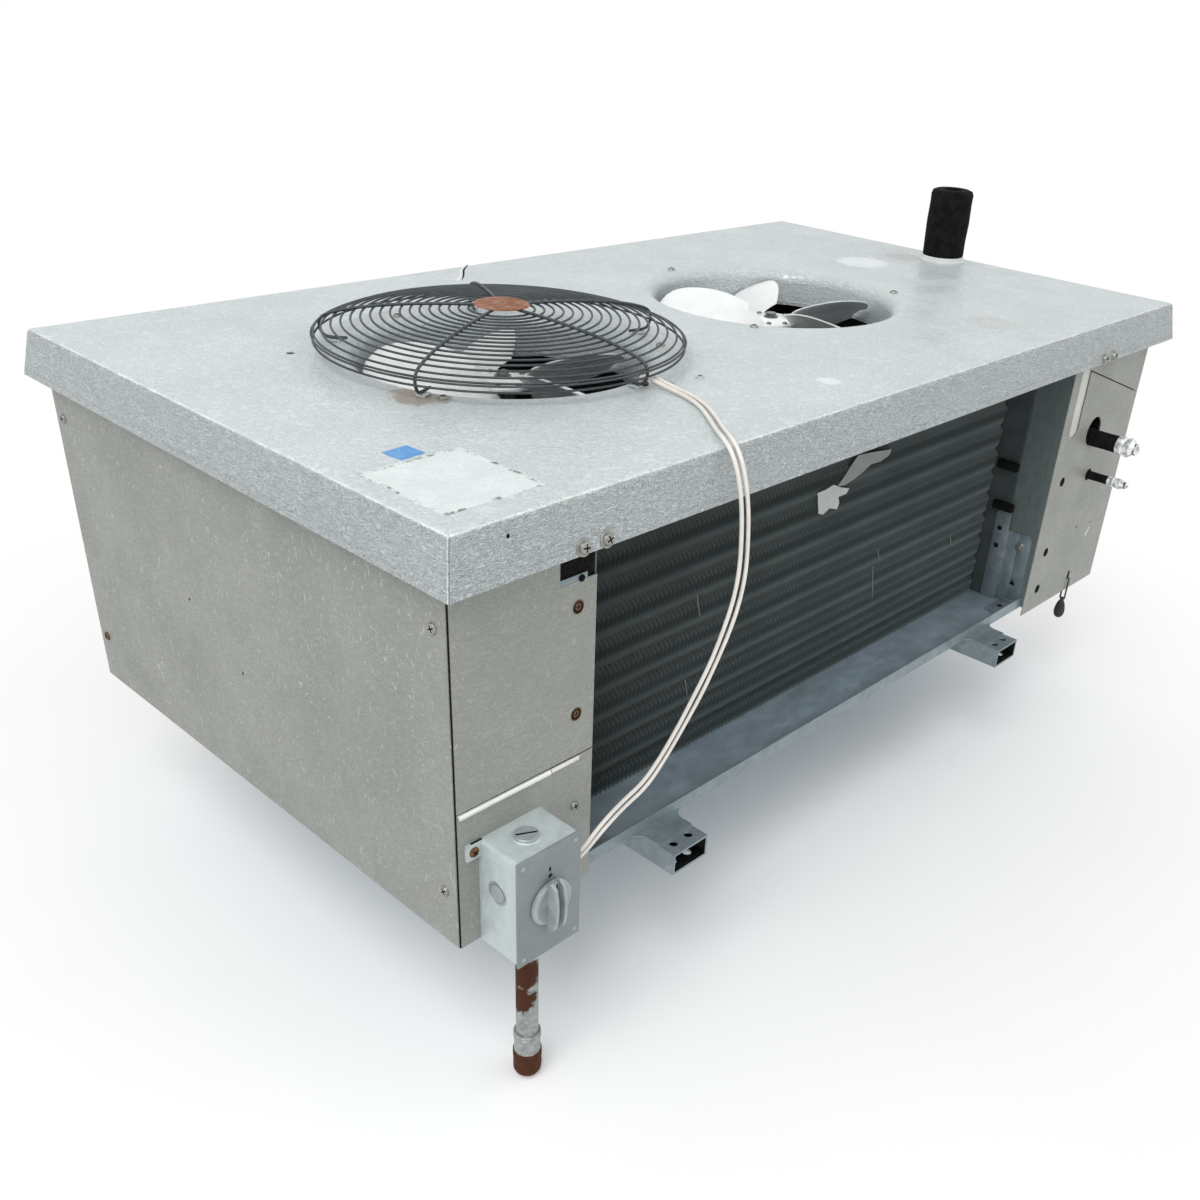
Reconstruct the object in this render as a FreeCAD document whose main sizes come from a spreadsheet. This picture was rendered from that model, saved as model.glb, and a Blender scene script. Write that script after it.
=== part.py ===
import FreeCAD, Part
import math
import os
import re
import Sketcher
from FreeCAD import Rotation, Vector

# Dual discharge unit cooler, standing on its two hanger rails with its fan plate up.
# Millimetres. X runs along the casing, Y from the front to the back, Z up.
# The origin is the centre of the hanger hole pattern, on the rails' mounting face.

SIZES = {
    # Casing
    "unit_length": 1240.0,
    "unit_width": 682.0,
    "casing_height": 399.0,
    "end_inset": 5.7,
    "face_inset": 13.9,
    "panel_sheet": 1.2,
    "panel_flange": 13.0,
    "panel_drop": 1.6,
    "corner_seam": 2.5,
    "end_screw_inset": 17.0,
    "end_screw_high": 88.0,
    "end_screw_low": 345.0,
    # Drain pan, which is also the fan plate
    "pan_sheet": 1.5,
    "rim_depth": 48.0,
    "rim_flare": 9.4,
    "pan_bend": 6.0,
    "mouth_radius": 153.0,
    "mouth_curl": 14.0,
    "mouth_depth": 45.0,
    "fan_inset": 340.0,
    "fan_spacing": 452.0,
    "spare_hole_radius": 4.5,
    "spare_hole_inset": 161.6,
    "spare_hole_back": 114.0,
    # Corner panels
    "left_corner_width": 157.5,
    "right_corner_width": 218.3,
    "side_return": 48.0,
    "left_seam_height": 141.0,
    "lip_radius": 2.5,
    "lip_length": 104.0,
    "notch_width": 42.0,
    "notch_depth": 84.0,
    "seam_gap": 1.6,
    "lower_panel_drop": 3.0,
    "left_screw_inset": 21.0,
    "left_screw_high": 108.0,
    "left_screw_middle": 213.0,
    "left_screw_low": 312.0,
    "right_screw_inset": 34.0,
    "right_screw_high": 217.0,
    "right_screw_middle": 321.0,
    "right_screw_rise": 32.0,
    "service_panel_drop": 11.0,
    "diagonal_start": 346.9,
    "diagonal_fall": 73.4,
    "sight_slot_inset": 33.0,
    "sight_slot_radius": 12.5,
    "sight_slot_low": 282.0,
    "suction_hole_radius": 20.0,
    "liquid_hole_radius": 8.5,
    "hasp_slot_width": 8.0,
    "hasp_slot_height": 13.0,
    "screw_hole_radius": 2.6,
    # Mounting plate and hanger rails
    "plate_sheet": 2.0,
    "plate_lip_inset": 20.0,
    "plate_lip_height": 13.0,
    "tab_reach": 27.0,
    "tab_fillet": 13.0,
    "rail_inset": 265.0,
    "rail_spacing": 635.0,
    "rail_width": 50.0,
    "rail_height": 25.0,
    "rail_wall": 2.5,
    "rail_length": 738.0,
    "hanger_hole_radius": 4.75,
    "hanger_hole_pitch": 22.0,
    "hanger_hole_inset": 14.0,
    # Finned coils
    "tube_sheet_gap": 4.0,
    "coil_depth": 60.0,
    "mount_coil_gap": 2.1,
    "tube_pitch": 31.75,
    "tube_column_pitch": 27.5,
    "tube_radius": 5.2,
    "fin_pitch": 12.7,
    "fin_slot": 8.2,
    "fin_slot_depth": 9.0,
    "fin_foot_gap": 0.5,
    "tube_sheet": 2.0,
    "tube_sheet_flange": 18.0,
    "bend_reach": 18.0,
    "bracket_sheet": 2.0,
    "bracket_foot_width": 24.0,
    "bracket_height": 105.0,
    "bracket_foot": 48.0,
    "bracket_foot_inset": 4.0,
    "bracket_hole_drop": 24.0,
    "bracket_hole_step": 40.0,
    "bracket_hole_radius": 4.0,
    # Fans
    "blade_count": 5.0,
    "blade_tip_gap": 5.0,
    "blade_root_radius": 30.0,
    "blade_sheet": 2.0,
    "blade_root_chord": 46.0,
    "blade_middle_chord": 106.2,
    "blade_tip_chord": 128.0,
    "blade_root_pitch": 40.0,
    "blade_middle_pitch": 26.6,
    "blade_tip_pitch": 17.0,
    "blade_camber": 0.09,
    "blade_middle_radius": 95.0,
    "blade_overrun": 8.0,
    "blade_middle_drop": 32.0,
    "hub_radius": 36.0,
    "hub_plate": 3.0,
    "hub_boss_radius": 13.0,
    "hub_boss_height": 18.0,
    "hub_neck_height": 5.0,
    "shaft_radius": 6.35,
    "shaft_clearance": 0.05,
    "shaft_top_drop": 22.0,
    "shaft_end_gap": 1.0,
    "hub_neck_radius": 9.0,
    "left_fan_turn": 20.0,
    "right_fan_turn": 34.0,
    # Fan motors and their mounts
    "motor_radius": 48.0,
    "motor_height": 96.0,
    "motor_top_drop": 70.0,
    "motor_nose_radius": 17.0,
    "motor_nose_height": 7.0,
    "motor_bore_depth": 42.0,
    "motor_round": 7.0,
    "mount_leg_count": 3.0,
    "mount_leg_margin": 7.0,
    "mount_leg_width": 22.0,
    "mount_leg_reach": 12.0,
    "mount_curl_gap": 1.5,
    "mount_sheet": 3.0,
    "mount_arm_drop": 92.0,
    "mount_ring_height": 16.0,
    "mount_screw_angle": 91.5,
    # Wire guard
    "guard_overhang": 41.0,
    "guard_foot_height": 17.0,
    "guard_rise": 29.0,
    "guard_wire": 3.0,
    "guard_rib_wire": 4.0,
    "guard_rib_count": 5.0,
    "guard_ring_count": 16.0,
    "guard_ring_sides": 24.0,
    "guard_sink": 0.6,
    "guard_inner_ring": 34.0,
    "guard_foot_reach": 7.0,
    "guard_foot_ramp": 12.0,
    "guard_foot_lift": 2.0,
    "guard_rib_turn": 61.0,
    "hub_disc_radius": 29.0,
    "hub_disc_sheet": 1.5,
    "clip_length": 14.0,
    "clip_width": 10.0,
    # Drain
    "drain_inset": 43.0,
    "drain_pipe_radius": 13.33,
    "drain_pipe_wall": 2.87,
    "drain_pipe_top": 84.0,
    "drain_pipe_foot": 14.0,
    "drain_neck_radius": 16.0,
    "drain_nut_radius": 21.0,
    "drain_nut_height": 9.0,
    "drain_flange_radius": 33.0,
    "drain_flange_height": 8.0,
    "drain_sleeve_radius": 31.0,
    "drain_sleeve_height": 92.0,
    # Refrigerant connections
    "suction_inset": 127.0,
    "suction_height": 257.0,
    "suction_pipe_radius": 7.94,
    "suction_sleeve_radius": 11.5,
    "suction_sleeve_reach": 44.0,
    "suction_foil_reach": 24.0,
    "suction_foil_radius": 14.0,
    "foil_sheet": 4.0,
    "sleeve_inside": 30.0,
    "pipe_seat": 5.0,
    "liquid_inset": 109.0,
    "liquid_height": 199.0,
    "liquid_pipe_radius": 4.76,
    "liquid_sleeve_radius": 6.0,
    "liquid_sleeve_reach": 36.0,
    "liquid_foil_reach": 24.0,
    "liquid_foil_radius": 8.0,
    "header_radius": 11.0,
    "header_foot": 40.0,
    "header_drop": 3.5,
    "feeder_radius": 2.4,
    "distributor_radius": 10.0,
    "distributor_length": 28.0,
    # Switch box, conduit and rotary switch
    "box_inset": 30.0,
    "box_width": 72.0,
    "box_height": 114.0,
    "box_depth": 48.0,
    "box_wall": 3.0,
    "box_drop": 7.0,
    "box_round": 4.0,
    "box_lug_reach": 15.0,
    "box_lug_width": 16.0,
    "box_lug_thickness": 3.0,
    "box_lug_drop": 8.0,
    "cover_thickness": 3.0,
    "cover_lip": 0.8,
    "plug_radius": 11.5,
    "plug_neck_radius": 10.0,
    "plug_head": 2.0,
    "plug_slot_width": 2.0,
    "plug_slot_depth": 1.2,
    "conduit_shift": -3.0,
    "connector_radius": 14.5,
    "connector_height": 19.0,
    "conduit_radius": 10.67,
    "conduit_wall": 2.77,
    "conduit_seat": 6.0,
    "conduit_length": 142.0,
    "coupling_radius": 13.2,
    "coupling_height": 24.0,
    "cap_radius": 14.0,
    "cap_height": 30.0,
    "cap_seat": 14.0,
    "knob_radius": 22.5,
    "knob_skirt": 5.0,
    "knob_bar_length": 56.0,
    "knob_bar_width": 14.0,
    "knob_bar_height": 16.0,
    "knob_round": 2.5,
    "spindle_radius": 4.0,
    "spindle_clearance": 0.05,
    "switch_body_radius": 20.0,
    "switch_body_depth": 26.0,
    "indicator_hole_radius": 2.5,
    "indicator_hole_rise": 28.0,
    "cover_hole_gap": 0.5,
    "switch_bore_depth": 15.0,
    "connector_neck_radius": 10.0,
    "knob_gap": 0.3,
    "side_bushing_radius": 7.0,
    "side_bushing_reach": 6.0,
    # Fasteners
    "screw_head_radius": 5.0,
    "screw_head_height": 2.4,
    "screw_shank_radius": 2.3,
    "screw_shank_length": 9.0,
    "washer_radius": 7.5,
    "washer_sheet": 1.2,
    "rim_bolt_drop": 42.0,
    "rim_bolt_inset": 125.0,
    "rim_bolt_pitch": 26.0,
    "rim_bolt_right_inset": 176.0,
    # Hanging plug
    "hasp_inset": 91.0,
    "hasp_rise": 24.0,
    "hasp_wire": 1.3,
    "hasp_drop": 34.0,
    "hasp_stand_off": 3.4,
    "hasp_bend": 1.6,
    "hasp_rest_gap": 0.1,
    "hasp_plug_gap": 0.05,
    "drop_plug_radius": 8.0,
    "drop_plug_length": 34.0,
    "drop_plug_tip_radius": 4.8,
    "drop_plug_tip_height": 1.6,
    "drop_plug_shoulder": 6.4,
    "drop_plug_neck": 1.9,
    "drop_plug_neck_drop": 1.6,
    # Fan leads
    "lead_radius": 2.0,
    "lead_spread": 3.2,
    "lead_rise": 4.2,
    "lead_run_in": 19.0,
    "grommet_angle": 281.0,
    "grommet_radius": 6.5,
    "grommet_neck_radius": 5.0,
    "grommet_height": 2.0,
}

# Places that several pieces share, as formulas of the sizes above
LEFT = "(-rail_inset - rail_spacing / 2)"
RIGHT = f"({LEFT} + unit_length)"
FRONT = "(-unit_width / 2)"
TOP = "(rail_height + casing_height)"
PAN_FOOT = f"({TOP} - rim_depth)"
UNDER_PAN = f"({TOP} - pan_sheet)"
PLATE_TOP = "(rail_height + plate_sheet)"
END_LEFT = f"({LEFT} + end_inset)"
END_RIGHT = f"({RIGHT} - end_inset)"
FACE = f"({FRONT} + face_inset)"
PANEL_LEFT = f"({END_LEFT} + corner_seam)"
LEFT_RETURN = f"({END_LEFT} + left_corner_width)"
RIGHT_RETURN = f"({END_RIGHT} - right_corner_width)"
PANEL_RIGHT = f"({END_RIGHT} - corner_seam)"
MOUTH_LIP = "(mouth_radius + mouth_curl)"
LEG_CIRCLE = f"({MOUTH_LIP} + mount_leg_margin)"
LEG_END = f"({LEG_CIRCLE} + mount_leg_reach)"
BLADE_TIP = "(mouth_radius - blade_tip_gap)"
GUARD_EDGE = "(mouth_radius + guard_overhang)"
GUARD_FOOT = "(mouth_radius + guard_foot_reach)"
COIL_FACE = f"(-{LEG_END} - mount_coil_gap - coil_depth)"
COIL_LEFT = f"({LEFT_RETURN} + tube_sheet_gap + tube_sheet)"
COIL_RIGHT = f"({RIGHT_RETURN} - tube_sheet_gap - tube_sheet)"
COIL_LENGTH = f"({COIL_RIGHT} - {COIL_LEFT})"
COIL_FOOT = f"({PLATE_TOP} + fin_foot_gap)"
TUBE_ROWS = f"floor(({UNDER_PAN} - {COIL_FOOT}) / tube_pitch)"
COIL_HEIGHT = f"(tube_pitch * {TUBE_ROWS})"
LIP_FACE = f"({FRONT} + plate_lip_inset)"
PLATE_LEFT = f"({END_LEFT} + panel_sheet)"
PLATE_RIGHT = f"({END_RIGHT} - panel_sheet)"
FAN_LEFT_X = f"({LEFT} + fan_inset)"
FAN_RIGHT_X = f"({FAN_LEFT_X} + fan_spacing)"
MOTOR_TOP = f"({TOP} - motor_top_drop)"
DRAIN_X = f"({RIGHT} - drain_inset)"
SEAM = "(rail_height + left_seam_height)"
COLUMN_NEAR = f"({COIL_FACE} + (coil_depth - tube_column_pitch) / 2)"
COLUMN_FAR = f"({COLUMN_NEAR} + tube_column_pitch)"
GROMMET_X = f"({FAN_LEFT_X} + {LEG_CIRCLE} * cos(grommet_angle))"
GROMMET_Y = f"({LEG_CIRCLE} * sin(grommet_angle))"
RIM_BOLT_Z = f"({TOP} - rim_bolt_drop)"
RIM_BOLT_Y = f"({FRONT} - rim_flare * rim_bolt_drop / rim_depth)"
RIM_BOLT_X = (
    f"({LEFT} + rim_bolt_inset)",
    f"({LEFT} + rim_bolt_inset + rim_bolt_pitch)",
    f"({RIGHT} - rim_bolt_right_inset - rim_bolt_pitch)",
    f"({RIGHT} - rim_bolt_right_inset)",
)
LOWER_FOOT = "(rail_height - lower_panel_drop)"
SERVICE_FOOT = "(rail_height - service_panel_drop)"
LEFT_SCREW_X = f"({LEFT_RETURN} - left_screw_inset)"
RIGHT_SCREW_X = f"({RIGHT_RETURN} + right_screw_inset)"
LEFT_SCREW_Z = (
    f"({TOP} - left_screw_high)",
    f"({TOP} - left_screw_middle)",
    f"({TOP} - left_screw_low)",
)
RIGHT_SCREW_Z = (
    f"({TOP} - right_screw_high)",
    f"({TOP} - right_screw_middle)",
    f"({SERVICE_FOOT} + right_screw_rise)",
)
END_SCREW_Y = (f"({FACE} + end_screw_inset)", f"(-{FACE} - end_screw_inset)")
END_SCREW_Z = (f"({TOP} - end_screw_high)", f"({TOP} - end_screw_low)")
BOX_LEFT = f"({LEFT} + box_inset)"
BOX_FOOT = "(rail_height - box_drop)"
BOX_MIDDLE_X = f"({BOX_LEFT} + box_width / 2)"
BOX_MIDDLE_Z = f"({BOX_FOOT} + box_height / 2)"
BOX_FACE = f"({FACE} - box_depth)"
COVER_FACE = f"({BOX_FACE} - cover_thickness)"
CONDUIT_X = f"({BOX_MIDDLE_X} + conduit_shift)"
CONDUIT_Y = f"({FACE} - box_depth / 2)"
CONNECTOR_FOOT = f"({BOX_FOOT} - connector_height)"
CONDUIT_FOOT = f"({CONNECTOR_FOOT} + conduit_seat - conduit_length)"
SUCTION_X = f"({RIGHT} - suction_inset)"
LIQUID_X = f"({RIGHT} - liquid_inset)"
HASP_X = f"({RIGHT} - hasp_inset)"
HASP_Y = f"({FACE} + panel_sheet / 2)"
HASP_Z = f"({SERVICE_FOOT} + hasp_rise)"
LUG_SCREW = (
    f"({BOX_LEFT} - box_lug_reach / 2)",
    f"({FACE} - box_lug_thickness)",
    f"({BOX_FOOT} + box_height - box_lug_drop)",
)

TURNS = {
    "x": Rotation(Vector(0, 1, 0), 90),
    "y": Rotation(Vector(1, 0, 0), -90),
    "z": Rotation(),
    "-y": Rotation(Vector(1, 0, 0), 90),
    "-x": Rotation(Vector(0, 1, 0), -90),
    "-z": Rotation(Vector(1, 0, 0), 180),
}

# How near an edge must come to a plane to lie in it
TOUCH = 0.001

document = FreeCAD.newDocument("unit_cooler")
sheet = document.addObject("Spreadsheet::Sheet", "Sizes")
gauge = document.addObject("App::FeaturePython", "gauge")
nodes = []


def named(text):
    """Put the sheet's name before each size in a formula."""
    return re.sub(r"[a-z][a-z_0-9]*", lambda word: "Sizes." + word[0] if word[0] in SIZES else word[0], text)


def bind(thing, setting, text):
    """Bind one setting of an object to a formula."""
    thing.setExpression(setting, named(text))


def reading(text):
    """The present value of a formula."""
    bind(gauge, "reading", text)
    gauge.recompute()
    return gauge.reading


def fill_sheet():
    """Write every driving size into the sheet, as a plain number with its name as alias."""
    for row, (name, value) in enumerate(SIZES.items(), 1):
        sheet.set(f"A{row}", name)
        sheet.set(f"B{row}", str(value))
        sheet.setAlias(f"B{row}", name)
    gauge.addProperty("App::PropertyFloat", "reading")
    document.recompute()


def node(thing, label):
    """Name a finished sub-part and list it for writing."""
    thing.Label = label
    nodes.append(thing)
    return thing


def place(thing, spot, turn="z"):
    """Bind an object's place to three formulas, after turning its Z axis to the one named."""
    thing.Placement = FreeCAD.Placement(Vector(), TURNS[turn])
    for axis, text in zip("xyz", spot):
        bind(thing, f"Placement.Base.{axis}", text)
    return thing


def turned(thing, axis, angle):
    """Turn an object about an axis through its own origin, by a formula."""
    thing.Placement = FreeCAD.Placement(thing.Placement.Base, Rotation(axis, reading(angle)))
    bind(thing, "Placement.Rotation.Angle", angle)
    return thing


def block(name, corner, size):
    """A box from its lowest corner and its three sides."""
    solid = document.addObject("Part::Box", name)
    for setting, text in zip(("Length", "Width", "Height"), size):
        bind(solid, setting, text)
    return place(solid, corner)


def rod(name, foot, radius, length, axis="z"):
    """A cylinder from the centre of its foot."""
    solid = document.addObject("Part::Cylinder", name)
    bind(solid, "Radius", radius)
    bind(solid, "Height", length)
    return place(solid, foot, axis)


def group(name, solids):
    """Separate solids kept in one object."""
    together = document.addObject("Part::Compound", name)
    together.Links = solids
    return together


def fuse(name, solids):
    """Several solids made one."""
    whole = document.addObject("Part::MultiFuse", name)
    whole.Shapes = solids
    whole.Refine = True
    return whole


def cut(name, base, tools):
    """A solid less one or more others."""
    left = document.addObject("Part::Cut", name)
    left.Base = base
    left.Tool = tools[0] if len(tools) == 1 else fuse(name + "_tools", tools)
    left.Refine = True
    return left


def mirror(name, source, normal):
    """The mirror image of an object in a plane through the origin."""
    image = document.addObject("Part::Mirroring", name)
    image.Source = source
    image.Base = Vector()
    image.Normal = normal
    return image


def pair(name, source, normal):
    """An object and its mirror image, as separate solids of one object."""
    return group(name, [source, mirror(name + "_image", source, normal)])


def pipe(name, foot, radius, bore, length, axis="z"):
    """A round tube from the centre of its foot."""
    outside = rod(name + "_outside", foot, radius, length, axis)
    inside = rod(name + "_inside", foot, bore, length, axis)
    return cut(name, outside, [inside])


def body(name, spot=("0", "0", "0")):
    """A body that holds sketches and features."""
    return place(document.addObject("PartDesign::Body", name), spot)


def sketch(owner, name, plane, shift=("0", "0", "0")):
    """A sketch on one of its body's origin planes, moved in that plane and off it."""
    drawing = owner.newObject("Sketcher::SketchObject", name)
    support = [feature for feature in owner.Origin.OriginFeatures if feature.Role == plane][0]
    drawing.AttachmentSupport = [(support, "")]
    drawing.MapMode = "FlatFace"
    for axis, text in zip("xyz", shift):
        bind(drawing, f"AttachmentOffset.Base.{axis}", text)
    return drawing


def arc_centre(start, end, radius, side):
    """The centre of an arc between two points, on the left or right of the way between them."""
    middle = (start + end) * 0.5
    along = end - start
    across = Vector(-along.y, along.x, 0)
    across.normalize()
    rise = math.sqrt(max(radius ** 2 - (along.Length / 2) ** 2, 0))
    return middle + across * rise * (1 if side == "left" else -1)


def outline(drawing, corners):
    """A closed outline. A corner is two formulas, and two more values start an arc there:
    its radius and the side of the way, left or right, that its centre is on."""
    spots = [Vector(reading(corner[0]), reading(corner[1]), 0) for corner in corners]
    first = drawing.GeometryCount
    ends = []
    for index, corner in enumerate(corners):
        start = spots[index]
        end = spots[(index + 1) % len(spots)]
        if len(corner) == 2:
            drawing.addGeometry(Part.LineSegment(start, end))
            ends.append((1, 2))
            continue
        radius = reading(corner[2])
        centre = arc_centre(start, end, radius, corner[3])
        circle = Part.Circle(centre, Vector(0, 0, 1), radius)
        turn = (start, end) if corner[3] == "left" else (end, start)
        angles = [math.atan2(spot.y - centre.y, spot.x - centre.x) for spot in turn]
        drawing.addGeometry(Part.ArcOfCircle(circle, angles[0], angles[1]))
        ends.append((1, 2) if corner[3] == "left" else (2, 1))
    for index, corner in enumerate(corners):
        line = first + index
        following = (index + 1) % len(corners)
        drawing.addConstraint(
            Sketcher.Constraint("Coincident", line, ends[index][1], first + following, ends[following][0]))
        spot = spots[index]
        for kind, text, now in (("DistanceX", corner[0], spot.x), ("DistanceY", corner[1], spot.y)):
            rule = drawing.addConstraint(Sketcher.Constraint(kind, -1, 1, line, ends[index][0], now))
            bind(drawing, f"Constraints[{rule}]", text)
        if len(corner) > 2:
            rule = drawing.addConstraint(Sketcher.Constraint("Radius", line, reading(corner[2])))
            bind(drawing, f"Constraints[{rule}]", corner[2])


def rectangle(drawing, low, high):
    """A rectangle from its lowest and highest corners."""
    outline(drawing, [low, (high[0], low[1]), high, (low[0], high[1])])


def circle(drawing, centre, radius):
    """A circle from its centre and radius."""
    spot = Vector(reading(centre[0]), reading(centre[1]), 0)
    ring = drawing.addGeometry(Part.Circle(spot, Vector(0, 0, 1), reading(radius)))
    for kind, text, now in (("DistanceX", centre[0], spot.x), ("DistanceY", centre[1], spot.y)):
        rule = drawing.addConstraint(Sketcher.Constraint(kind, -1, 1, ring, 3, now))
        bind(drawing, f"Constraints[{rule}]", text)
    rule = drawing.addConstraint(Sketcher.Constraint("Radius", ring, reading(radius)))
    bind(drawing, f"Constraints[{rule}]", radius)


def pad(owner, name, drawing, length, centred=False, back=False, taper=None):
    """Thicken a sketch along its normal, both ways if centred, or the other way."""
    feature = owner.newObject("PartDesign::Pad", name)
    feature.Profile = drawing
    bind(feature, "Length", length)
    feature.Midplane = centred
    feature.Reversed = back
    if taper:
        bind(feature, "TaperAngle", taper)
    return feature


def pocket(owner, name, drawing, depth, centred=False, back=False, taper=None):
    """Cut a sketch into its body against its normal, both ways if centred, or the other way."""
    feature = owner.newObject("PartDesign::Pocket", name)
    feature.Profile = drawing
    bind(feature, "Length", depth)
    feature.Midplane = centred
    feature.Reversed = back
    if taper:
        bind(feature, "TaperAngle", taper)
    return feature


def revolve(owner, name, drawing, axis="V_Axis"):
    """Turn a sketch once round one of its own axes."""
    feature = owner.newObject("PartDesign::Revolution", name)
    feature.Profile = drawing
    feature.ReferenceAxis = (drawing, [axis])
    feature.Angle = 360
    return feature


def polar(owner, name, features, count, drawing):
    """Repeat features round a sketch's normal."""
    feature = owner.newObject("PartDesign::PolarPattern", name)
    feature.Originals = features
    feature.Axis = (drawing, ["N_Axis"])
    feature.Angle = 360
    bind(feature, "Occurrences", count)
    owner.Tip = feature
    return feature


def row(owner, name, features, drawing, axis, length, count):
    """Repeat features along one of a sketch's axes."""
    feature = owner.newObject("PartDesign::LinearPattern", name)
    feature.Originals = features
    feature.Direction = (drawing, [axis])
    bind(feature, "Length", length)
    bind(feature, "Occurrences", count)
    owner.Tip = feature
    return feature


def edges_where(feature, test):
    """The names of a feature's edges that pass a test."""
    document.recompute()
    return [f"Edge{index}" for index, edge in enumerate(feature.Shape.Edges, 1) if test(edge)]


def fillet(owner, name, feature, test, radius):
    """Round the edges of a feature that pass a test."""
    rounding = owner.newObject("PartDesign::Fillet", name)
    rounding.Base = (feature, edges_where(feature, test))
    bind(rounding, "Radius", radius)
    return rounding


# Casing

def mouth(owner, name, centre_x):
    """The curl and throat of one fan mouth, rolled from the pan's own sheet."""
    drawing = sketch(owner, name + "_profile", "XZ_Plane", (centre_x, "0", "0"))
    outline(drawing, [
        (MOUTH_LIP, TOP, "mouth_curl", "left"),
        ("mouth_radius", f"{TOP} - mouth_curl"),
        ("mouth_radius", f"{TOP} - mouth_depth"),
        ("mouth_radius + pan_sheet", f"{TOP} - mouth_depth"),
        ("mouth_radius + pan_sheet", f"{TOP} - mouth_curl", "mouth_curl - pan_sheet", "right"),
        (MOUTH_LIP, UNDER_PAN),
    ])
    return revolve(owner, name, drawing)


def mount_screw_spots(centre_x):
    """The places round a fan mouth where its motor mount is screwed up to the pan."""
    legs = range(round(reading("mount_leg_count")))
    angles = [f"(mount_screw_angle + {leg} * 360 / mount_leg_count)" for leg in legs]
    return [(f"({centre_x} + {LEG_CIRCLE} * cos({angle}))", f"({LEG_CIRCLE} * sin({angle}))")
            for angle in angles]


def drain_pan():
    """The folded pan: flared rim, bent edges, two rolled fan mouths and its holes."""
    owner = body("pan")
    slope = "-atan(rim_flare / rim_depth)"
    foot = sketch(owner, "pan_foot", "XY_Plane", ("0", "0", PAN_FOOT))
    rectangle(foot, (f"{LEFT} - rim_flare", f"{FRONT} - rim_flare"),
              (f"{RIGHT} + rim_flare", f"rim_flare - {FRONT}"))
    solid = pad(owner, "pan_block", foot, "rim_depth", taper=slope)
    top = reading(TOP)
    fillet(owner, "pan_bends", solid, lambda edge: edge.BoundBox.ZMin > top - TOUCH, "pan_bend")
    hollow = sketch(owner, "pan_hollow", "XY_Plane", ("0", "0", PAN_FOOT))
    inset = "(rim_flare - pan_sheet)"
    rectangle(hollow, (f"{LEFT} - {inset}", f"{FRONT} - {inset}"),
              (f"{RIGHT} + {inset}", f"{inset} - {FRONT}"))
    pocket(owner, "pan_inside", hollow, "rim_depth - pan_sheet", back=True, taper=slope)
    holes = sketch(owner, "pan_holes", "XY_Plane", ("0", "0", TOP))
    for centre_x in (FAN_LEFT_X, FAN_RIGHT_X):
        circle(holes, (centre_x, "0"), MOUTH_LIP)
        for spot in mount_screw_spots(centre_x):
            circle(holes, spot, "screw_hole_radius")
    circle(holes, (f"{LEFT} + spare_hole_inset", "spare_hole_back"), "spare_hole_radius")
    circle(holes, (DRAIN_X, "0"), "drain_neck_radius")
    circle(holes, (GROMMET_X, GROMMET_Y), "grommet_neck_radius")
    pocket(owner, "pan_openings", holes, "2 * pan_sheet")
    mouth(owner, "left_mouth", FAN_LEFT_X)
    mouth(owner, "right_mouth", FAN_RIGHT_X)
    bolt_holes = [
        rod(f"rim_bolt_hole_{side}_{index}", (x, f"{start} * ({FRONT} + pan_bend)", RIM_BOLT_Z),
            "screw_hole_radius", "pan_bend + 2 * rim_flare", side)
        for side, start in (("-y", "1"), ("y", "-1"))
        for index, x in enumerate(RIM_BOLT_X)
    ]
    return node(cut("drain_pan", owner, bolt_holes), "drain_pan")


def end_panel(side):
    """One end of the casing: a shallow tray with flanges at its front, back and top."""
    wall = END_LEFT if side == "left" else f"({END_RIGHT} - panel_sheet)"
    start = END_LEFT if side == "left" else f"({END_RIGHT} - panel_flange)"
    inside = f"({END_LEFT} + panel_sheet)" if side == "left" else start
    foot = "(rail_height - panel_drop)"
    front = f"({FACE} + panel_sheet)"
    name = f"end_panel_{side}"
    height = f"({UNDER_PAN} - {foot})"
    outside = block(name + "_block", (start, front, foot), ("panel_flange", f"-2 * {front}", height))
    hollow = block(name + "_hollow", (inside, f"{front} + panel_sheet", foot),
                   ("panel_flange - panel_sheet", f"-2 * ({front} + panel_sheet)", f"{height} - panel_sheet"))
    holes = [
        rod(f"{name}_hole_{index}", (wall, y, z), "screw_hole_radius", "panel_sheet", "x")
        for index, (y, z) in enumerate((y, z) for y in END_SCREW_Y for z in END_SCREW_Z)
    ]
    return node(cut(name, outside, [hollow] + holes), name)


def panel_holes(name, x, heights):
    """The screw holes down one corner panel."""
    return [rod(f"{name}_hole_{index}", (x, FACE, height), "screw_hole_radius", "panel_sheet", "y")
            for index, height in enumerate(heights)]


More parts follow.
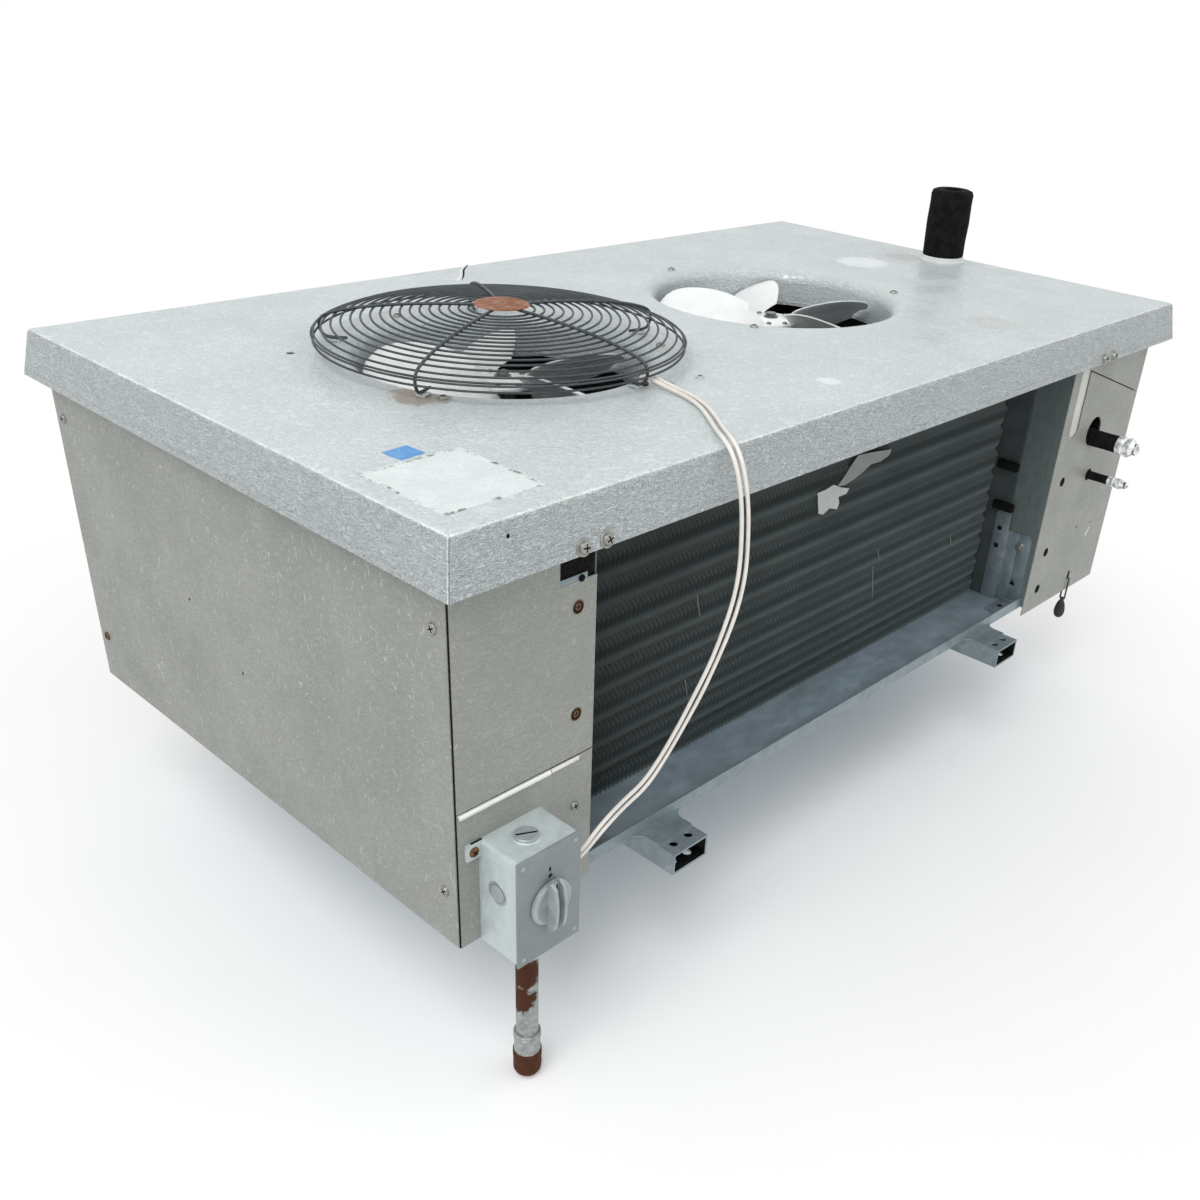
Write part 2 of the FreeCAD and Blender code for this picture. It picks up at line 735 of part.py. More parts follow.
def front_left_panels():
    """The stucco panel left of the coil, notched under the rim, and the lower one under the switch box."""
    width = f"({LEFT_RETURN} - {PANEL_LEFT})"
    start = f"({SEAM} + seam_gap)"
    upper = block("front_left_upper_sheet", (PANEL_LEFT, FACE, start),
                  (width, "panel_sheet", f"{UNDER_PAN} - {start}"))
    notch = block("front_left_notch", (f"{LEFT_RETURN} - notch_width", FACE, f"{TOP} - notch_depth"),
                  ("notch_width", "panel_sheet", "notch_depth"))
    holes = panel_holes("front_left_upper", LEFT_SCREW_X, LEFT_SCREW_Z[:2])
    node(cut("front_left_upper_panel", upper, [notch] + holes), "front_left_upper_panel")
    lower = block("front_left_lower_sheet", (PANEL_LEFT, FACE, LOWER_FOOT),
                  (width, "panel_sheet", f"{SEAM} - {LOWER_FOOT}"))
    lip = rod("front_left_lip", (PANEL_LEFT, FACE, f"{SEAM} - lip_radius"), "lip_radius", "lip_length", "x")
    behind = block("front_left_lip_back", (PANEL_LEFT, f"{FACE} + panel_sheet", f"{SEAM} - 2 * lip_radius"),
                   ("lip_length", "lip_radius", "2 * lip_radius"))
    rolled = cut("front_left_rolled_lip", lip, [behind])
    holes = panel_holes("front_left_lower", LEFT_SCREW_X, LEFT_SCREW_Z[2:])
    holes += panel_holes("front_left_lug", LUG_SCREW[0], LUG_SCREW[2:])
    whole = fuse("front_left_lower", [lower, rolled])
    return node(cut("front_left_lower_panel", whole, holes), "front_left_lower_panel")


def front_right_panels():
    """The small panel above the diagonal seam, and the service panel with its pipe and sight openings."""
    high = "(rail_height + diagonal_start)"
    low = "(rail_height + diagonal_start - diagonal_fall)"
    owner = body("front_right_upper_panel")
    drawing = sketch(owner, "front_right_upper_outline", "XZ_Plane", ("0", "0", f"-{FACE}"))
    outline(drawing, [(RIGHT_RETURN, f"{high} + seam_gap"), (PANEL_RIGHT, f"{low} + seam_gap"),
                      (PANEL_RIGHT, UNDER_PAN), (RIGHT_RETURN, UNDER_PAN)])
    pad(owner, "front_right_upper_sheet", drawing, "panel_sheet", back=True)
    node(owner, "front_right_upper_panel")
    owner = body("front_right_lower_panel")
    drawing = sketch(owner, "front_right_lower_outline", "XZ_Plane", ("0", "0", f"-{FACE}"))
    sight_x = f"({RIGHT_RETURN} + sight_slot_inset)"
    fall = f"diagonal_fall / ({PANEL_RIGHT} - {RIGHT_RETURN})"
    outline(drawing, [
        (RIGHT_RETURN, SERVICE_FOOT),
        (PANEL_RIGHT, SERVICE_FOOT),
        (PANEL_RIGHT, low),
        (f"{sight_x} + sight_slot_radius", f"{high} - (sight_slot_inset + sight_slot_radius) * {fall}"),
        (f"{sight_x} + sight_slot_radius", "sight_slot_low", "sight_slot_radius", "right"),
        (sight_x, "sight_slot_low - sight_slot_radius", "sight_slot_radius", "right"),
        (f"{sight_x} - sight_slot_radius", "sight_slot_low"),
        (f"{sight_x} - sight_slot_radius", f"{high} - (sight_slot_inset - sight_slot_radius) * {fall}"),
        (RIGHT_RETURN, high),
    ])
    circle(drawing, (SUCTION_X, "suction_height + suction_hole_radius - suction_sleeve_radius"),
           "suction_hole_radius")
    circle(drawing, (LIQUID_X, "liquid_height"), "liquid_hole_radius")
    for height in RIGHT_SCREW_Z:
        circle(drawing, (RIGHT_SCREW_X, height), "screw_hole_radius")
    rectangle(drawing, (f"{HASP_X} - hasp_slot_width / 2", f"{HASP_Z} - hasp_slot_height / 2"),
              (f"{HASP_X} + hasp_slot_width / 2", f"{HASP_Z} + hasp_slot_height / 2"))
    pad(owner, "front_right_lower_sheet", drawing, "panel_sheet", back=True)
    return node(owner, "front_right_lower_panel")


def back_panels():
    """The two plain corner panels at the back."""
    inner_face = f"(-{FACE} - panel_sheet)"
    for label, start, end, screw_x, screw_heights in (
            ("back_left_panel", PANEL_LEFT, LEFT_RETURN, LEFT_SCREW_X, LEFT_SCREW_Z),
            ("back_right_panel", RIGHT_RETURN, PANEL_RIGHT, RIGHT_SCREW_X, RIGHT_SCREW_Z)):
        plain = block(label + "_sheet", (start, inner_face, LOWER_FOOT),
                      (f"{end} - {start}", "panel_sheet", f"{UNDER_PAN} - {LOWER_FOOT}"))
        holes = [
            rod(f"{label}_hole_{index}", (screw_x, inner_face, height), "screw_hole_radius",
                "panel_sheet", "y")
            for index, height in enumerate(screw_heights)
        ]
        node(cut(label, plain, holes), label)


def recess_cheeks():
    """The side walls of the two coil recesses, between the corner panels and the coils."""
    cheeks = [
        block(f"cheek_{side}", (start, f"{FACE} + panel_sheet", PLATE_TOP),
              ("panel_sheet", "side_return - panel_sheet", f"{UNDER_PAN} - {PLATE_TOP}"))
        for side, start in (("left", f"{LEFT_RETURN} - panel_sheet"), ("right", RIGHT_RETURN))
    ]
    front = node(group("recess_cheeks_front", cheeks), "recess_cheeks_front")
    node(mirror("recess_cheeks_back", front, Vector(0, 1, 0)), "recess_cheeks_back")


# Mounting plate and hanger rails

def mounting_plate():
    """The base plate with its two stiffening lips, and a tab over each end of the rails."""
    owner = body("mounting_plate")
    drawing = sketch(owner, "plate_outline", "XY_Plane", ("0", "0", "rail_height"))
    back = f"-{LIP_FACE}"
    front_corners = []
    back_corners = []
    for middle in ("(-rail_spacing / 2)", "(rail_spacing / 2)"):
        left = f"{middle} - rail_width / 2"
        right = f"{middle} + rail_width / 2"
        front_corners += [
            (f"{left} - tab_fillet", LIP_FACE, "tab_fillet", "right"),
            (left, f"{LIP_FACE} - tab_fillet"),
            (left, f"{LIP_FACE} - tab_reach"),
            (right, f"{LIP_FACE} - tab_reach"),
            (right, f"{LIP_FACE} - tab_fillet", "tab_fillet", "right"),
            (f"{right} + tab_fillet", LIP_FACE),
        ]
        back_corners = [
            (f"{right} + tab_fillet", back, "tab_fillet", "right"),
            (right, f"{back} + tab_fillet"),
            (right, f"{back} + tab_reach"),
            (left, f"{back} + tab_reach"),
            (left, f"{back} + tab_fillet", "tab_fillet", "right"),
            (f"{left} - tab_fillet", back),
        ] + back_corners
    outline(drawing, [(PLATE_LEFT, LIP_FACE)] + front_corners + [(PLATE_RIGHT, LIP_FACE), (PLATE_RIGHT, back)]
            + back_corners + [(PLATE_LEFT, back)])
    pad(owner, "plate_sheet_pad", drawing, "plate_sheet")
    lips = sketch(owner, "plate_lips", "XY_Plane", ("0", "0", PLATE_TOP))
    rectangle(lips, (LEFT_RETURN, LIP_FACE), (RIGHT_RETURN, f"{LIP_FACE} + plate_sheet"))
    rectangle(lips, (LEFT_RETURN, f"{back} - plate_sheet"), (RIGHT_RETURN, back))
    pad(owner, "plate_lip_pad", lips, "plate_lip_height")
    return node(owner, "mounting_plate")


def hanger_rail(side):
    """A box-section rail with two hanger holes near each end."""
    middle = "(-rail_spacing / 2)" if side == "left" else "(rail_spacing / 2)"
    edge = f"({middle} - rail_width / 2)"
    name = f"hanger_rail_{side}"
    outside = block(name + "_outside", (edge, "-rail_length / 2", "0"),
                    ("rail_width", "rail_length", "rail_height"))
    inside = block(name + "_inside", (f"{edge} + rail_wall", "-rail_length / 2", "rail_wall"),
                   ("rail_width - 2 * rail_wall", "rail_length", "rail_height - 2 * rail_wall"))
    holes = [
        rod(f"{name}_hole_{index}", (f"{middle} + {across} * hanger_hole_pitch / 2",
                                     f"{along} * (rail_length / 2 - hanger_hole_inset)", "0"),
            "hanger_hole_radius", "rail_height")
        for index, (across, along) in enumerate(((-1, -1), (1, -1), (-1, 1), (1, 1)))
    ]
    return node(cut(name, outside, [inside] + holes), name)


def coil_brackets():
    """The four angle brackets that tie the recess cheeks down to the mounting plate."""
    brackets = []
    start_y = f"({LIP_FACE} + plate_sheet)"
    width = f"({FACE} + side_return - {start_y})"
    for side, wall, foot in (
            ("left", LEFT_RETURN, LEFT_RETURN),
            ("right", f"({RIGHT_RETURN} - bracket_sheet)", f"({RIGHT_RETURN} - bracket_foot)")):
        upright = block(f"bracket_upright_{side}", (wall, start_y, PLATE_TOP),
                        ("bracket_sheet", width, "bracket_height"))
        foot_y = f"({start_y} + bracket_foot_inset)"
        base = block(f"bracket_base_{side}", (foot, foot_y, PLATE_TOP),
                     ("bracket_foot", "bracket_foot_width", "bracket_sheet"))
        high = f"({PLATE_TOP} + bracket_height - bracket_hole_drop)"
        holes = [
            rod(f"bracket_hole_{side}_{index}", (wall, f"{start_y} + {width} / 2", height),
                "bracket_hole_radius", "bracket_sheet", "x")
            for index, height in enumerate((high, f"{high} - bracket_hole_step"))
        ]
        foot_middle = (f"{foot} + bracket_foot / 2", f"{foot_y} + bracket_foot_width / 2", PLATE_TOP)
        holes.append(rod(f"bracket_base_hole_{side}", foot_middle, "bracket_hole_radius", "bracket_sheet"))
        brackets.append(cut(f"bracket_{side}", fuse(f"bracket_whole_{side}", [upright, base]), holes))
    return node(pair("coil_brackets", group("front_brackets", brackets), Vector(0, 1, 0)), "coil_brackets")


# Finned coils

def tube_sheets():
    """The end plates of the two coils, each with a flange bent outward behind its cheek."""
    sheets = []
    front = f"({FACE} + side_return)"
    height = f"({UNDER_PAN} - {PLATE_TOP})"
    for side, wall, flange in (
            ("left", f"({COIL_LEFT} - tube_sheet)", f"({COIL_LEFT} - tube_sheet_flange)"),
            ("right", COIL_RIGHT, COIL_RIGHT)):
        plate = block(f"tube_plate_{side}", (wall, front, PLATE_TOP),
                      ("tube_sheet", f"{COIL_FACE} + coil_depth - {front}", height))
        edge = block(f"tube_flange_{side}", (flange, front, PLATE_TOP),
                     ("tube_sheet_flange", "tube_sheet", height))
        sheets.append(fuse(f"tube_sheet_{side}", [plate, edge]))
    front_pair = node(group("tube_sheets_front", sheets), "tube_sheets_front")
    node(mirror("tube_sheets_back", front_pair, Vector(0, 1, 0)), "tube_sheets_back")


def coil_fins():
    """The fin pack of the front coil, slotted along its face, and the back one as its mirror image."""
    owner = body("coil_front_fins")
    drawing = sketch(owner, "fin_outline", "XZ_Plane", ("0", "0", f"-{COIL_FACE}"))
    rectangle(drawing, (COIL_LEFT, COIL_FOOT), (COIL_RIGHT, f"{COIL_FOOT} + {COIL_HEIGHT}"))
    pad(owner, "fin_pack", drawing, "coil_depth", back=True)
    slot = sketch(owner, "fin_slot_outline", "XZ_Plane", ("0", "0", f"-{COIL_FACE}"))
    start = f"({COIL_LEFT} + fin_pitch - fin_slot)"
    rectangle(slot, (start, COIL_FOOT), (f"{start} + fin_slot", f"{COIL_FOOT} + {COIL_HEIGHT}"))
    first = pocket(owner, "fin_slot_cut", slot, "fin_slot_depth")
    count = f"floor(({COIL_LENGTH} - fin_pitch) / fin_pitch)"
    row(owner, "fin_slots", [first], slot, "H_Axis", f"fin_pitch * ({count} - 1)", count)
    front = node(owner, "coil_front_fins")
    node(mirror("coil_back_fins", front, Vector(0, 1, 0)), "coil_back_fins")


# Number of flats round a return bend
HAIRPIN_SIDES = 6


def hairpin(ends, reach, radius):
    """A six-sided tube from one tube end straight out, across and back to another."""
    way = [ends[0], ends[0] + reach, ends[1] + reach, ends[1]]
    turns = [2 * math.pi * side / HAIRPIN_SIDES for side in range(HAIRPIN_SIDES)]
    corners = [way[0] + Vector(0, math.cos(turn), math.sin(turn)) * radius for turn in turns]
    path = Part.makePolygon(way)
    profile = Part.makePolygon(corners + corners[:1])
    return path.makePipeShell([profile], True, False, 1)


def coil_bends():
    """The return bends at both ends of the front coil, and those of the back coil as their mirror image."""
    near = reading(COLUMN_NEAR)
    far = reading(COLUMN_FAR)
    pitch = reading("tube_pitch")
    rows = round(reading(TUBE_ROWS))
    heights = [reading(COIL_FOOT) + pitch * (index + 0.5) for index in range(rows)]
    left = reading(f"{COIL_LEFT} - tube_sheet")
    right = reading(f"{COIL_RIGHT} + tube_sheet")
    reach = Vector(reading("bend_reach"), 0, 0)
    radius = reading("tube_radius")
    bends = [hairpin((Vector(left, near, z), Vector(left, far, z)), -reach, radius) for z in heights]
    bends += [hairpin((Vector(right, far, low), Vector(right, near, high)), reach, radius)
              for low, high in zip(heights, heights[1:])]
    front = document.addObject("Part::Feature", "coil_front_bends")
    front.Shape = Part.makeCompound(bends)
    node(front, "coil_front_bends")
    node(mirror("coil_back_bends", front, Vector(0, 1, 0)), "coil_back_bends")


# Fans, their motors and mounts

# Where along a blade's chord its section is drawn through
BLADE_STATIONS = (-0.5, -0.25, 0, 0.25, 0.5)


def blade_section(owner, station, radius):
    """One cambered section of the blade, square to the radius it stands at."""
    drawing = sketch(owner, f"blade_{station}", "YZ_Plane", ("0", "0", radius))
    chord = f"blade_{station}_chord"
    pitch = f"blade_{station}_pitch"
    upper = []
    lower = []
    for share in BLADE_STATIONS:
        bow = f"blade_camber * {chord} * {1 - 4 * share ** 2}"
        for side, half in ((upper, "blade_sheet / 2"), (lower, "-blade_sheet / 2")):
            rise = f"({bow} + {half})"
            along = f"({share} * {chord})"
            side.append((f"{along} * cos({pitch}) - {rise} * sin({pitch})",
                         f"{along} * sin({pitch}) + {rise} * cos({pitch}) - blade_middle_drop"))
    outline(drawing, lower + upper[::-1])
    return drawing


def fan(side, centre_x, turn):
    """A pressed aluminium fan: a hub plate and twisted, cambered blades trimmed to a circle."""
    owner = body(f"fan_{side}", (centre_x, "0", TOP))
    hub = sketch(owner, "hub_outline", "XY_Plane", ("0", "0", "-blade_middle_drop - hub_plate / 2"))
    circle(hub, ("0", "0"), "hub_radius")
    pad(owner, "hub_plate_pad", hub, "hub_plate")
    loft = owner.newObject("PartDesign::AdditiveLoft", "blade")
    loft.Profile = blade_section(owner, "root", "blade_root_radius")
    reach = f"({BLADE_TIP} + blade_overrun)"
    loft.Sections = [
        blade_section(owner, "middle", "blade_middle_radius"),
        blade_section(owner, "tip", reach),
    ]
    polar(owner, "blades", [loft], "blade_count", hub)
    rim = sketch(owner, "tip_trim", "XY_Plane", ("0", "0", "0"))
    circle(rim, ("0", "0"), BLADE_TIP)
    circle(rim, ("0", "0"), f"2 * {reach}")
    pocket(owner, "tip_trim_cut", rim, "2 * blade_tip_chord", centred=True)
    bore = sketch(owner, "hub_bore", "XY_Plane", ("0", "0", "-blade_middle_drop"))
    circle(bore, ("0", "0"), "hub_neck_radius")
    pocket(owner, "hub_bore_cut", bore, "2 * hub_radius", centred=True)
    return node(turned(owner, Vector(0, 0, 1), turn), f"fan_{side}")


def fan_shaft(side, centre_x):
    """The hub boss and the motor shaft that carries it."""
    top = f"({TOP} - shaft_top_drop)"
    foot = f"({MOTOR_TOP} - motor_bore_depth + shaft_end_gap)"
    plate_foot = f"({TOP} - blade_middle_drop - hub_plate / 2)"
    shaft = rod(f"shaft_{side}", (centre_x, "0", foot), "shaft_radius", f"{top} - {foot}")
    boss = rod(f"boss_{side}", (centre_x, "0", f"{plate_foot} - hub_boss_height"), "hub_boss_radius",
               "hub_boss_height")
    neck = rod(f"neck_{side}", (centre_x, "0", plate_foot), "hub_neck_radius", "hub_plate + hub_neck_height")
    return node(fuse(f"fan_shaft_{side}", [shaft, boss, neck]), f"fan_shaft_{side}")


def fan_motor(side, centre_x):
    """A round motor with a nose and a bore that the shaft runs in."""
    owner = body(f"fan_motor_{side}", (centre_x, "0", MOTOR_TOP))
    drawing = sketch(owner, "motor_profile", "XZ_Plane")
    bore = "(shaft_radius + shaft_clearance)"
    outline(drawing, [
        ("0", "-motor_height"),
        ("motor_radius - motor_round", "-motor_height"),
        ("motor_radius", "motor_round - motor_height"),
        ("motor_radius", "-motor_round"),
        ("motor_radius - motor_round", "0"),
        ("motor_nose_radius", "0"),
        ("motor_nose_radius", "motor_nose_height"),
        (bore, "motor_nose_height"),
        (bore, "-motor_bore_depth"),
        ("0", "-motor_bore_depth"),
    ])
    revolve(owner, "motor_solid", drawing)
    return node(owner, f"fan_motor_{side}")


def motor_mount(side, centre_x):
    """A ring round the motor on bent legs that hang from the pan outside the fan mouth."""
    owner = body(f"motor_mount_{side}", (centre_x, "0", UNDER_PAN))
    arm = "(pan_sheet - mount_arm_drop)"
    leg = sketch(owner, "leg_profile", "XZ_Plane")
    start = f"({MOUTH_LIP} + mount_curl_gap)"
    outline(leg, [
        (start, "-mount_sheet"),
        (f"{LEG_END} - mount_sheet", "-mount_sheet"),
        (f"{LEG_END} - mount_sheet", arm),
        ("motor_radius + mount_sheet / 2", arm),
        ("motor_radius + mount_sheet / 2", f"{arm} - mount_sheet"),
        (LEG_END, f"{arm} - mount_sheet"),
        (LEG_END, "0"),
        (start, "0"),
    ])
    strip = pad(owner, "leg", leg, "mount_leg_width", centred=True)
    hole = sketch(owner, "leg_hole", "XY_Plane")
    circle(hole, (LEG_CIRCLE, "0"), "screw_hole_radius")
    drilled = pocket(owner, "leg_hole_cut", hole, "mount_sheet")
    polar(owner, "legs", [strip, drilled], "mount_leg_count", hole)
    ring = sketch(owner, "ring_outline", "XY_Plane", ("0", "0", f"{arm} - mount_ring_height"))
    circle(ring, ("0", "0"), "motor_radius")
    circle(ring, ("0", "0"), "motor_radius + mount_sheet")
    pad(owner, "ring", ring, "mount_ring_height")
    return node(turned(owner, Vector(0, 0, 1), "mount_screw_angle"), f"motor_mount_{side}")


# Wire guard of the left fan

def dome(radius):
    """The height of the guard's dome over a radius, as a formula."""
    return f"({TOP} + guard_foot_height + guard_rise * sqrt(1 - ({radius}) ^ 2 / {GUARD_EDGE} ^ 2))"


def guard_ring(index, count):
    """One wire ring of the dome, drawn with straight sides."""
    radius = f"(guard_inner_ring + {index} * ({GUARD_EDGE} - guard_inner_ring) / {count - 1})"
    rings = []
    for part, half in (("outside", "guard_wire / 2"), ("inside", "-guard_wire / 2")):
        prism = document.addObject("Part::Prism", f"guard_ring_{index}_{part}")
        bind(prism, "Polygon", "guard_ring_sides")
        bind(prism, "Circumradius", f"{radius} + {half}")
        bind(prism, "Height", "guard_wire")
        rings.append(place(prism, (FAN_LEFT_X, "0", f"{dome(radius)} - guard_wire / 2 - guard_sink")))
    return cut(f"guard_ring_{index}", rings[0], rings[1:])


# Where along the guard's radius its ribs are drawn through
RIB_SHARES = (0.1, 0.35, 0.6, 0.8, 0.92, 0.985)


def fan_guard():
    """The domed wire guard: rings under bent ribs whose feet turn in to the pan."""
    owner = body("guard_ribs", (FAN_LEFT_X, "0", "0"))
    drawing = sketch(owner, "rib_profile", "XZ_Plane")
    steps = [f"({GUARD_EDGE} * {share})" for share in RIB_SHARES]
    over = [(radius, f"{dome(radius)} + guard_rib_wire / 2") for radius in steps]
    under = [(radius, f"{dome(radius)} - guard_rib_wire / 2") for radius in steps]
    foot = f"({TOP} + guard_foot_lift)"
    knee = f"({TOP} + guard_foot_height)"
    outline(drawing, under + [
        (f"{GUARD_EDGE} - guard_rib_wire / 2", f"{knee} - guard_rib_wire"),
        (f"{GUARD_FOOT} + guard_foot_ramp", f"{foot} + guard_rib_wire"),
        (GUARD_FOOT, f"{foot} + guard_rib_wire"),
        (GUARD_FOOT, foot),
        (f"{GUARD_FOOT} + guard_foot_ramp", foot),
        (f"{GUARD_EDGE} + guard_rib_wire / 2", f"{knee} - guard_rib_wire"),
        (f"{GUARD_EDGE} + guard_rib_wire / 2", f"{knee} + guard_rib_wire / 2"),
    ] + over[::-1])
    rib = pad(owner, "rib", drawing, "guard_rib_wire", centred=True)
    centre = sketch(owner, "rib_centre", "XY_Plane")
    polar(owner, "ribs", [rib], "guard_rib_count", centre)
    turned(owner, Vector(0, 0, 1), "guard_rib_turn")
    count = round(reading("guard_ring_count"))
    rings = [guard_ring(index, count) for index in range(count)]
    return node(fuse("fan_guard_left", [owner] + rings), "fan_guard_left")


def guard_hub_disc():
    """The disc over the guard's centre, resting on the ribs."""
    height = f"({dome(f'{GUARD_EDGE} * {RIB_SHARES[0]}')} + guard_rib_wire / 2)"
    disc = rod("guard_hub_disc", (FAN_LEFT_X, "0", height), "hub_disc_radius", "hub_disc_sheet")
    return node(disc, "guard_hub_disc")


def guard_clips():
    """The clips that hold the guard's feet to the pan, between the mouth and each foot."""
    owner = body("guard_clips", (FAN_LEFT_X, "0", TOP))
    drawing = sketch(owner, "clip_outline", "XY_Plane")
    rectangle(drawing, (MOUTH_LIP, "-clip_width / 2"), (f"{MOUTH_LIP} + clip_length", "clip_width / 2"))
    clip = pad(owner, "clip", drawing, "guard_foot_lift")
    polar(owner, "clips", [clip], "guard_rib_count", drawing)
    return node(turned(owner, Vector(0, 0, 1), "guard_rib_turn"), "guard_clips")


# Drain connection

def drain():
    """The drain stub: a pipe in a flanged and nutted fitting through the pan, under a foam sleeve."""
    foot = f"({TOP} - drain_pipe_foot)"
    node(pipe("drain_pipe", (DRAIN_X, "0", foot), "drain_pipe_radius", "drain_pipe_radius - drain_pipe_wall",
              "drain_pipe_foot + drain_pipe_top"), "drain_pipe")
    flange = rod("drain_flange", (DRAIN_X, "0", TOP), "drain_flange_radius", "drain_flange_height")
    neck = rod("drain_neck", (DRAIN_X, "0", UNDER_PAN), "drain_neck_radius", "pan_sheet")
    nut_foot = (DRAIN_X, "0", f"{UNDER_PAN} - drain_nut_height")
    nut = rod("drain_nut", nut_foot, "drain_nut_radius", "drain_nut_height")
    bore = rod("drain_bore", nut_foot, "drain_pipe_radius",
               "drain_nut_height + pan_sheet + drain_flange_height")
    node(cut("drain_fitting", fuse("drain_fitting_solid", [flange, neck, nut]), [bore]), "drain_fitting")
    node(pipe("drain_sleeve", (DRAIN_X, "0", f"{TOP} + drain_flange_height"), "drain_sleeve_radius",
              "drain_pipe_radius", "drain_sleeve_height"), "drain_sleeve")


# Refrigerant connections

def stub(label, x, height, end):
    """One refrigerant stub: pipe, black sleeve and the foil twisted over its free end."""
    tip = f"({FACE} - {label}_sleeve_reach)"
    foil_tip = f"({tip} - {label}_foil_reach)"
    pipe_tip = f"({foil_tip} + foil_sheet)"
    tube = rod(f"{label}_pipe", (x, pipe_tip, height), f"{label}_pipe_radius", f"{end} - {pipe_tip}", "y")
    node(tube, f"{label}_pipe")
    node(pipe(f"{label}_sleeve", (x, tip, height), f"{label}_sleeve_radius", f"{label}_pipe_radius",
              f"{label}_sleeve_reach + sleeve_inside", "y"), f"{label}_sleeve")
    outside = rod(f"{label}_foil_outside", (x, foil_tip, height), f"{label}_foil_radius",
                  f"{label}_foil_reach", "y")
    inside = rod(f"{label}_foil_inside", (x, pipe_tip, height), f"{label}_pipe_radius",
                 f"{tip} - {pipe_tip}", "y")
    node(cut(f"{label}_foil", outside, [inside]), f"{label}_foil")


def suction_header():
    """The upright headers of both coils, joined across, with a tube from each coil's last row."""
    outlet = f"({COIL_FOOT} + {COIL_HEIGHT} - tube_pitch / 2)"
    start = f"({COIL_RIGHT} + tube_sheet)"
    height = f"({COIL_FOOT} + {COIL_HEIGHT} - header_drop - header_foot)"
    solids = [rod("header_cross", (SUCTION_X, COLUMN_FAR, "suction_height"), "suction_pipe_radius",
                  f"-2 * {COLUMN_FAR}", "y")]
    for side, y in (("front", COLUMN_FAR), ("back", f"(-{COLUMN_FAR})")):
        solids.append(rod(f"header_{side}", (SUCTION_X, y, "header_foot"), "header_radius", height))
        link = rod(f"header_link_{side}", (start, y, outlet), "tube_radius", f"{SUCTION_X} - {start}", "x")
        solids.append(link)
    seat = rod("header_seat", (SUCTION_X, f"{COLUMN_FAR} - 2 * header_radius", "suction_height"),
               "suction_pipe_radius", "header_radius + pipe_seat", "y")
    return node(cut("suction_header", fuse("suction_headers", solids), [seat]), "suction_header")


def distributor():
    """The liquid distributor and the tubes from it down to the first row of each coil."""
    inlet = f"({COIL_FOOT} + tube_pitch / 2)"
    start = f"({COIL_RIGHT} + tube_sheet)"
    solids = [
        rod("distributor_body", (LIQUID_X, f"{COLUMN_NEAR} - distributor_length / 2", "liquid_height"),
            "distributor_radius", "distributor_length", "y"),
        rod("liquid_cross", (LIQUID_X, COLUMN_NEAR, "liquid_height"), "liquid_pipe_radius",
            f"-2 * {COLUMN_NEAR}", "y"),
    ]
    for side, y in (("front", COLUMN_NEAR), ("back", f"(-{COLUMN_NEAR})")):
        drop = rod(f"feeder_drop_{side}", (LIQUID_X, y, inlet), "feeder_radius", f"liquid_height - {inlet}")
        run = rod(f"feeder_run_{side}", (start, y, inlet), "feeder_radius", f"{LIQUID_X} - {start}", "x")
        solids += [drop, run]
    return node(fuse("distributor", solids), "distributor")


# Switch box, conduit and rotary switch

def switch_box():
    """A cast box, open at the front, with a lug, a hole at each end and a side bushing."""
    owner = body("switch_box_shell")
    drawing = sketch(owner, "box_outline", "XZ_Plane", ("0", "0", f"-{FACE}"))
    right = f"({BOX_LEFT} + box_width)"
    top = f"({BOX_FOOT} + box_height)"
    rectangle(drawing, (BOX_LEFT, BOX_FOOT), (right, top))
    solid = pad(owner, "box_block", drawing, "box_depth")
    fillet(owner, "box_rounds", solid, lambda edge: edge.BoundBox.YLength > edge.Length - TOUCH, "box_round")
    hollow = sketch(owner, "box_hollow", "XZ_Plane", ("0", "0", f"-{BOX_FACE}"))
    rectangle(hollow, (f"{BOX_LEFT} + box_wall", f"{BOX_FOOT} + box_wall"),
              (f"{right} - box_wall", f"{top} - box_wall"))
    pocket(owner, "box_inside", hollow, "box_depth - box_wall")
    lug_foot = f"({top} - box_lug_drop - box_lug_width / 2)"
    lug = block("box_lug", (f"{BOX_LEFT} - box_lug_reach", f"{FACE} - box_lug_thickness", lug_foot),
                ("box_lug_reach + box_wall", "box_lug_thickness", "box_lug_width"))
    bushing = rod("side_bushing", (f"{right} - box_wall", CONDUIT_Y, BOX_MIDDLE_Z), "side_bushing_radius",
                  "box_wall + side_bushing_reach", "x")
    holes = [
        rod("lug_hole", LUG_SCREW, "screw_hole_radius", "box_lug_thickness", "y"),
        rod("top_hole", (CONDUIT_X, CONDUIT_Y, f"{top} - box_wall"), "plug_neck_radius", "box_wall"),
        rod("foot_hole", (CONDUIT_X, CONDUIT_Y, BOX_FOOT), "connector_neck_radius", "box_wall"),
    ]
    return node(cut("switch_box", fuse("switch_box_whole", [owner, lug, bushing]), holes), "switch_box")


def switch_cover():
    """The cover plate, with the spindle hole and a small indicator hole above the knob."""
    owner = body("switch_cover")
    drawing = sketch(owner, "cover_outline", "XZ_Plane", ("0", "0", f"-{BOX_FACE}"))
    rectangle(drawing, (f"{BOX_LEFT} - cover_lip", f"{BOX_FOOT} - cover_lip"),
              (f"{BOX_LEFT} + box_width + cover_lip", f"{BOX_FOOT} + box_height + cover_lip"))
    circle(drawing, (BOX_MIDDLE_X, BOX_MIDDLE_Z), "spindle_radius + cover_hole_gap")
    circle(drawing, (BOX_MIDDLE_X, f"{BOX_MIDDLE_Z} + indicator_hole_rise"), "indicator_hole_radius")
    pad(owner, "cover_plate", drawing, "cover_thickness")
    return node(owner, "switch_cover")


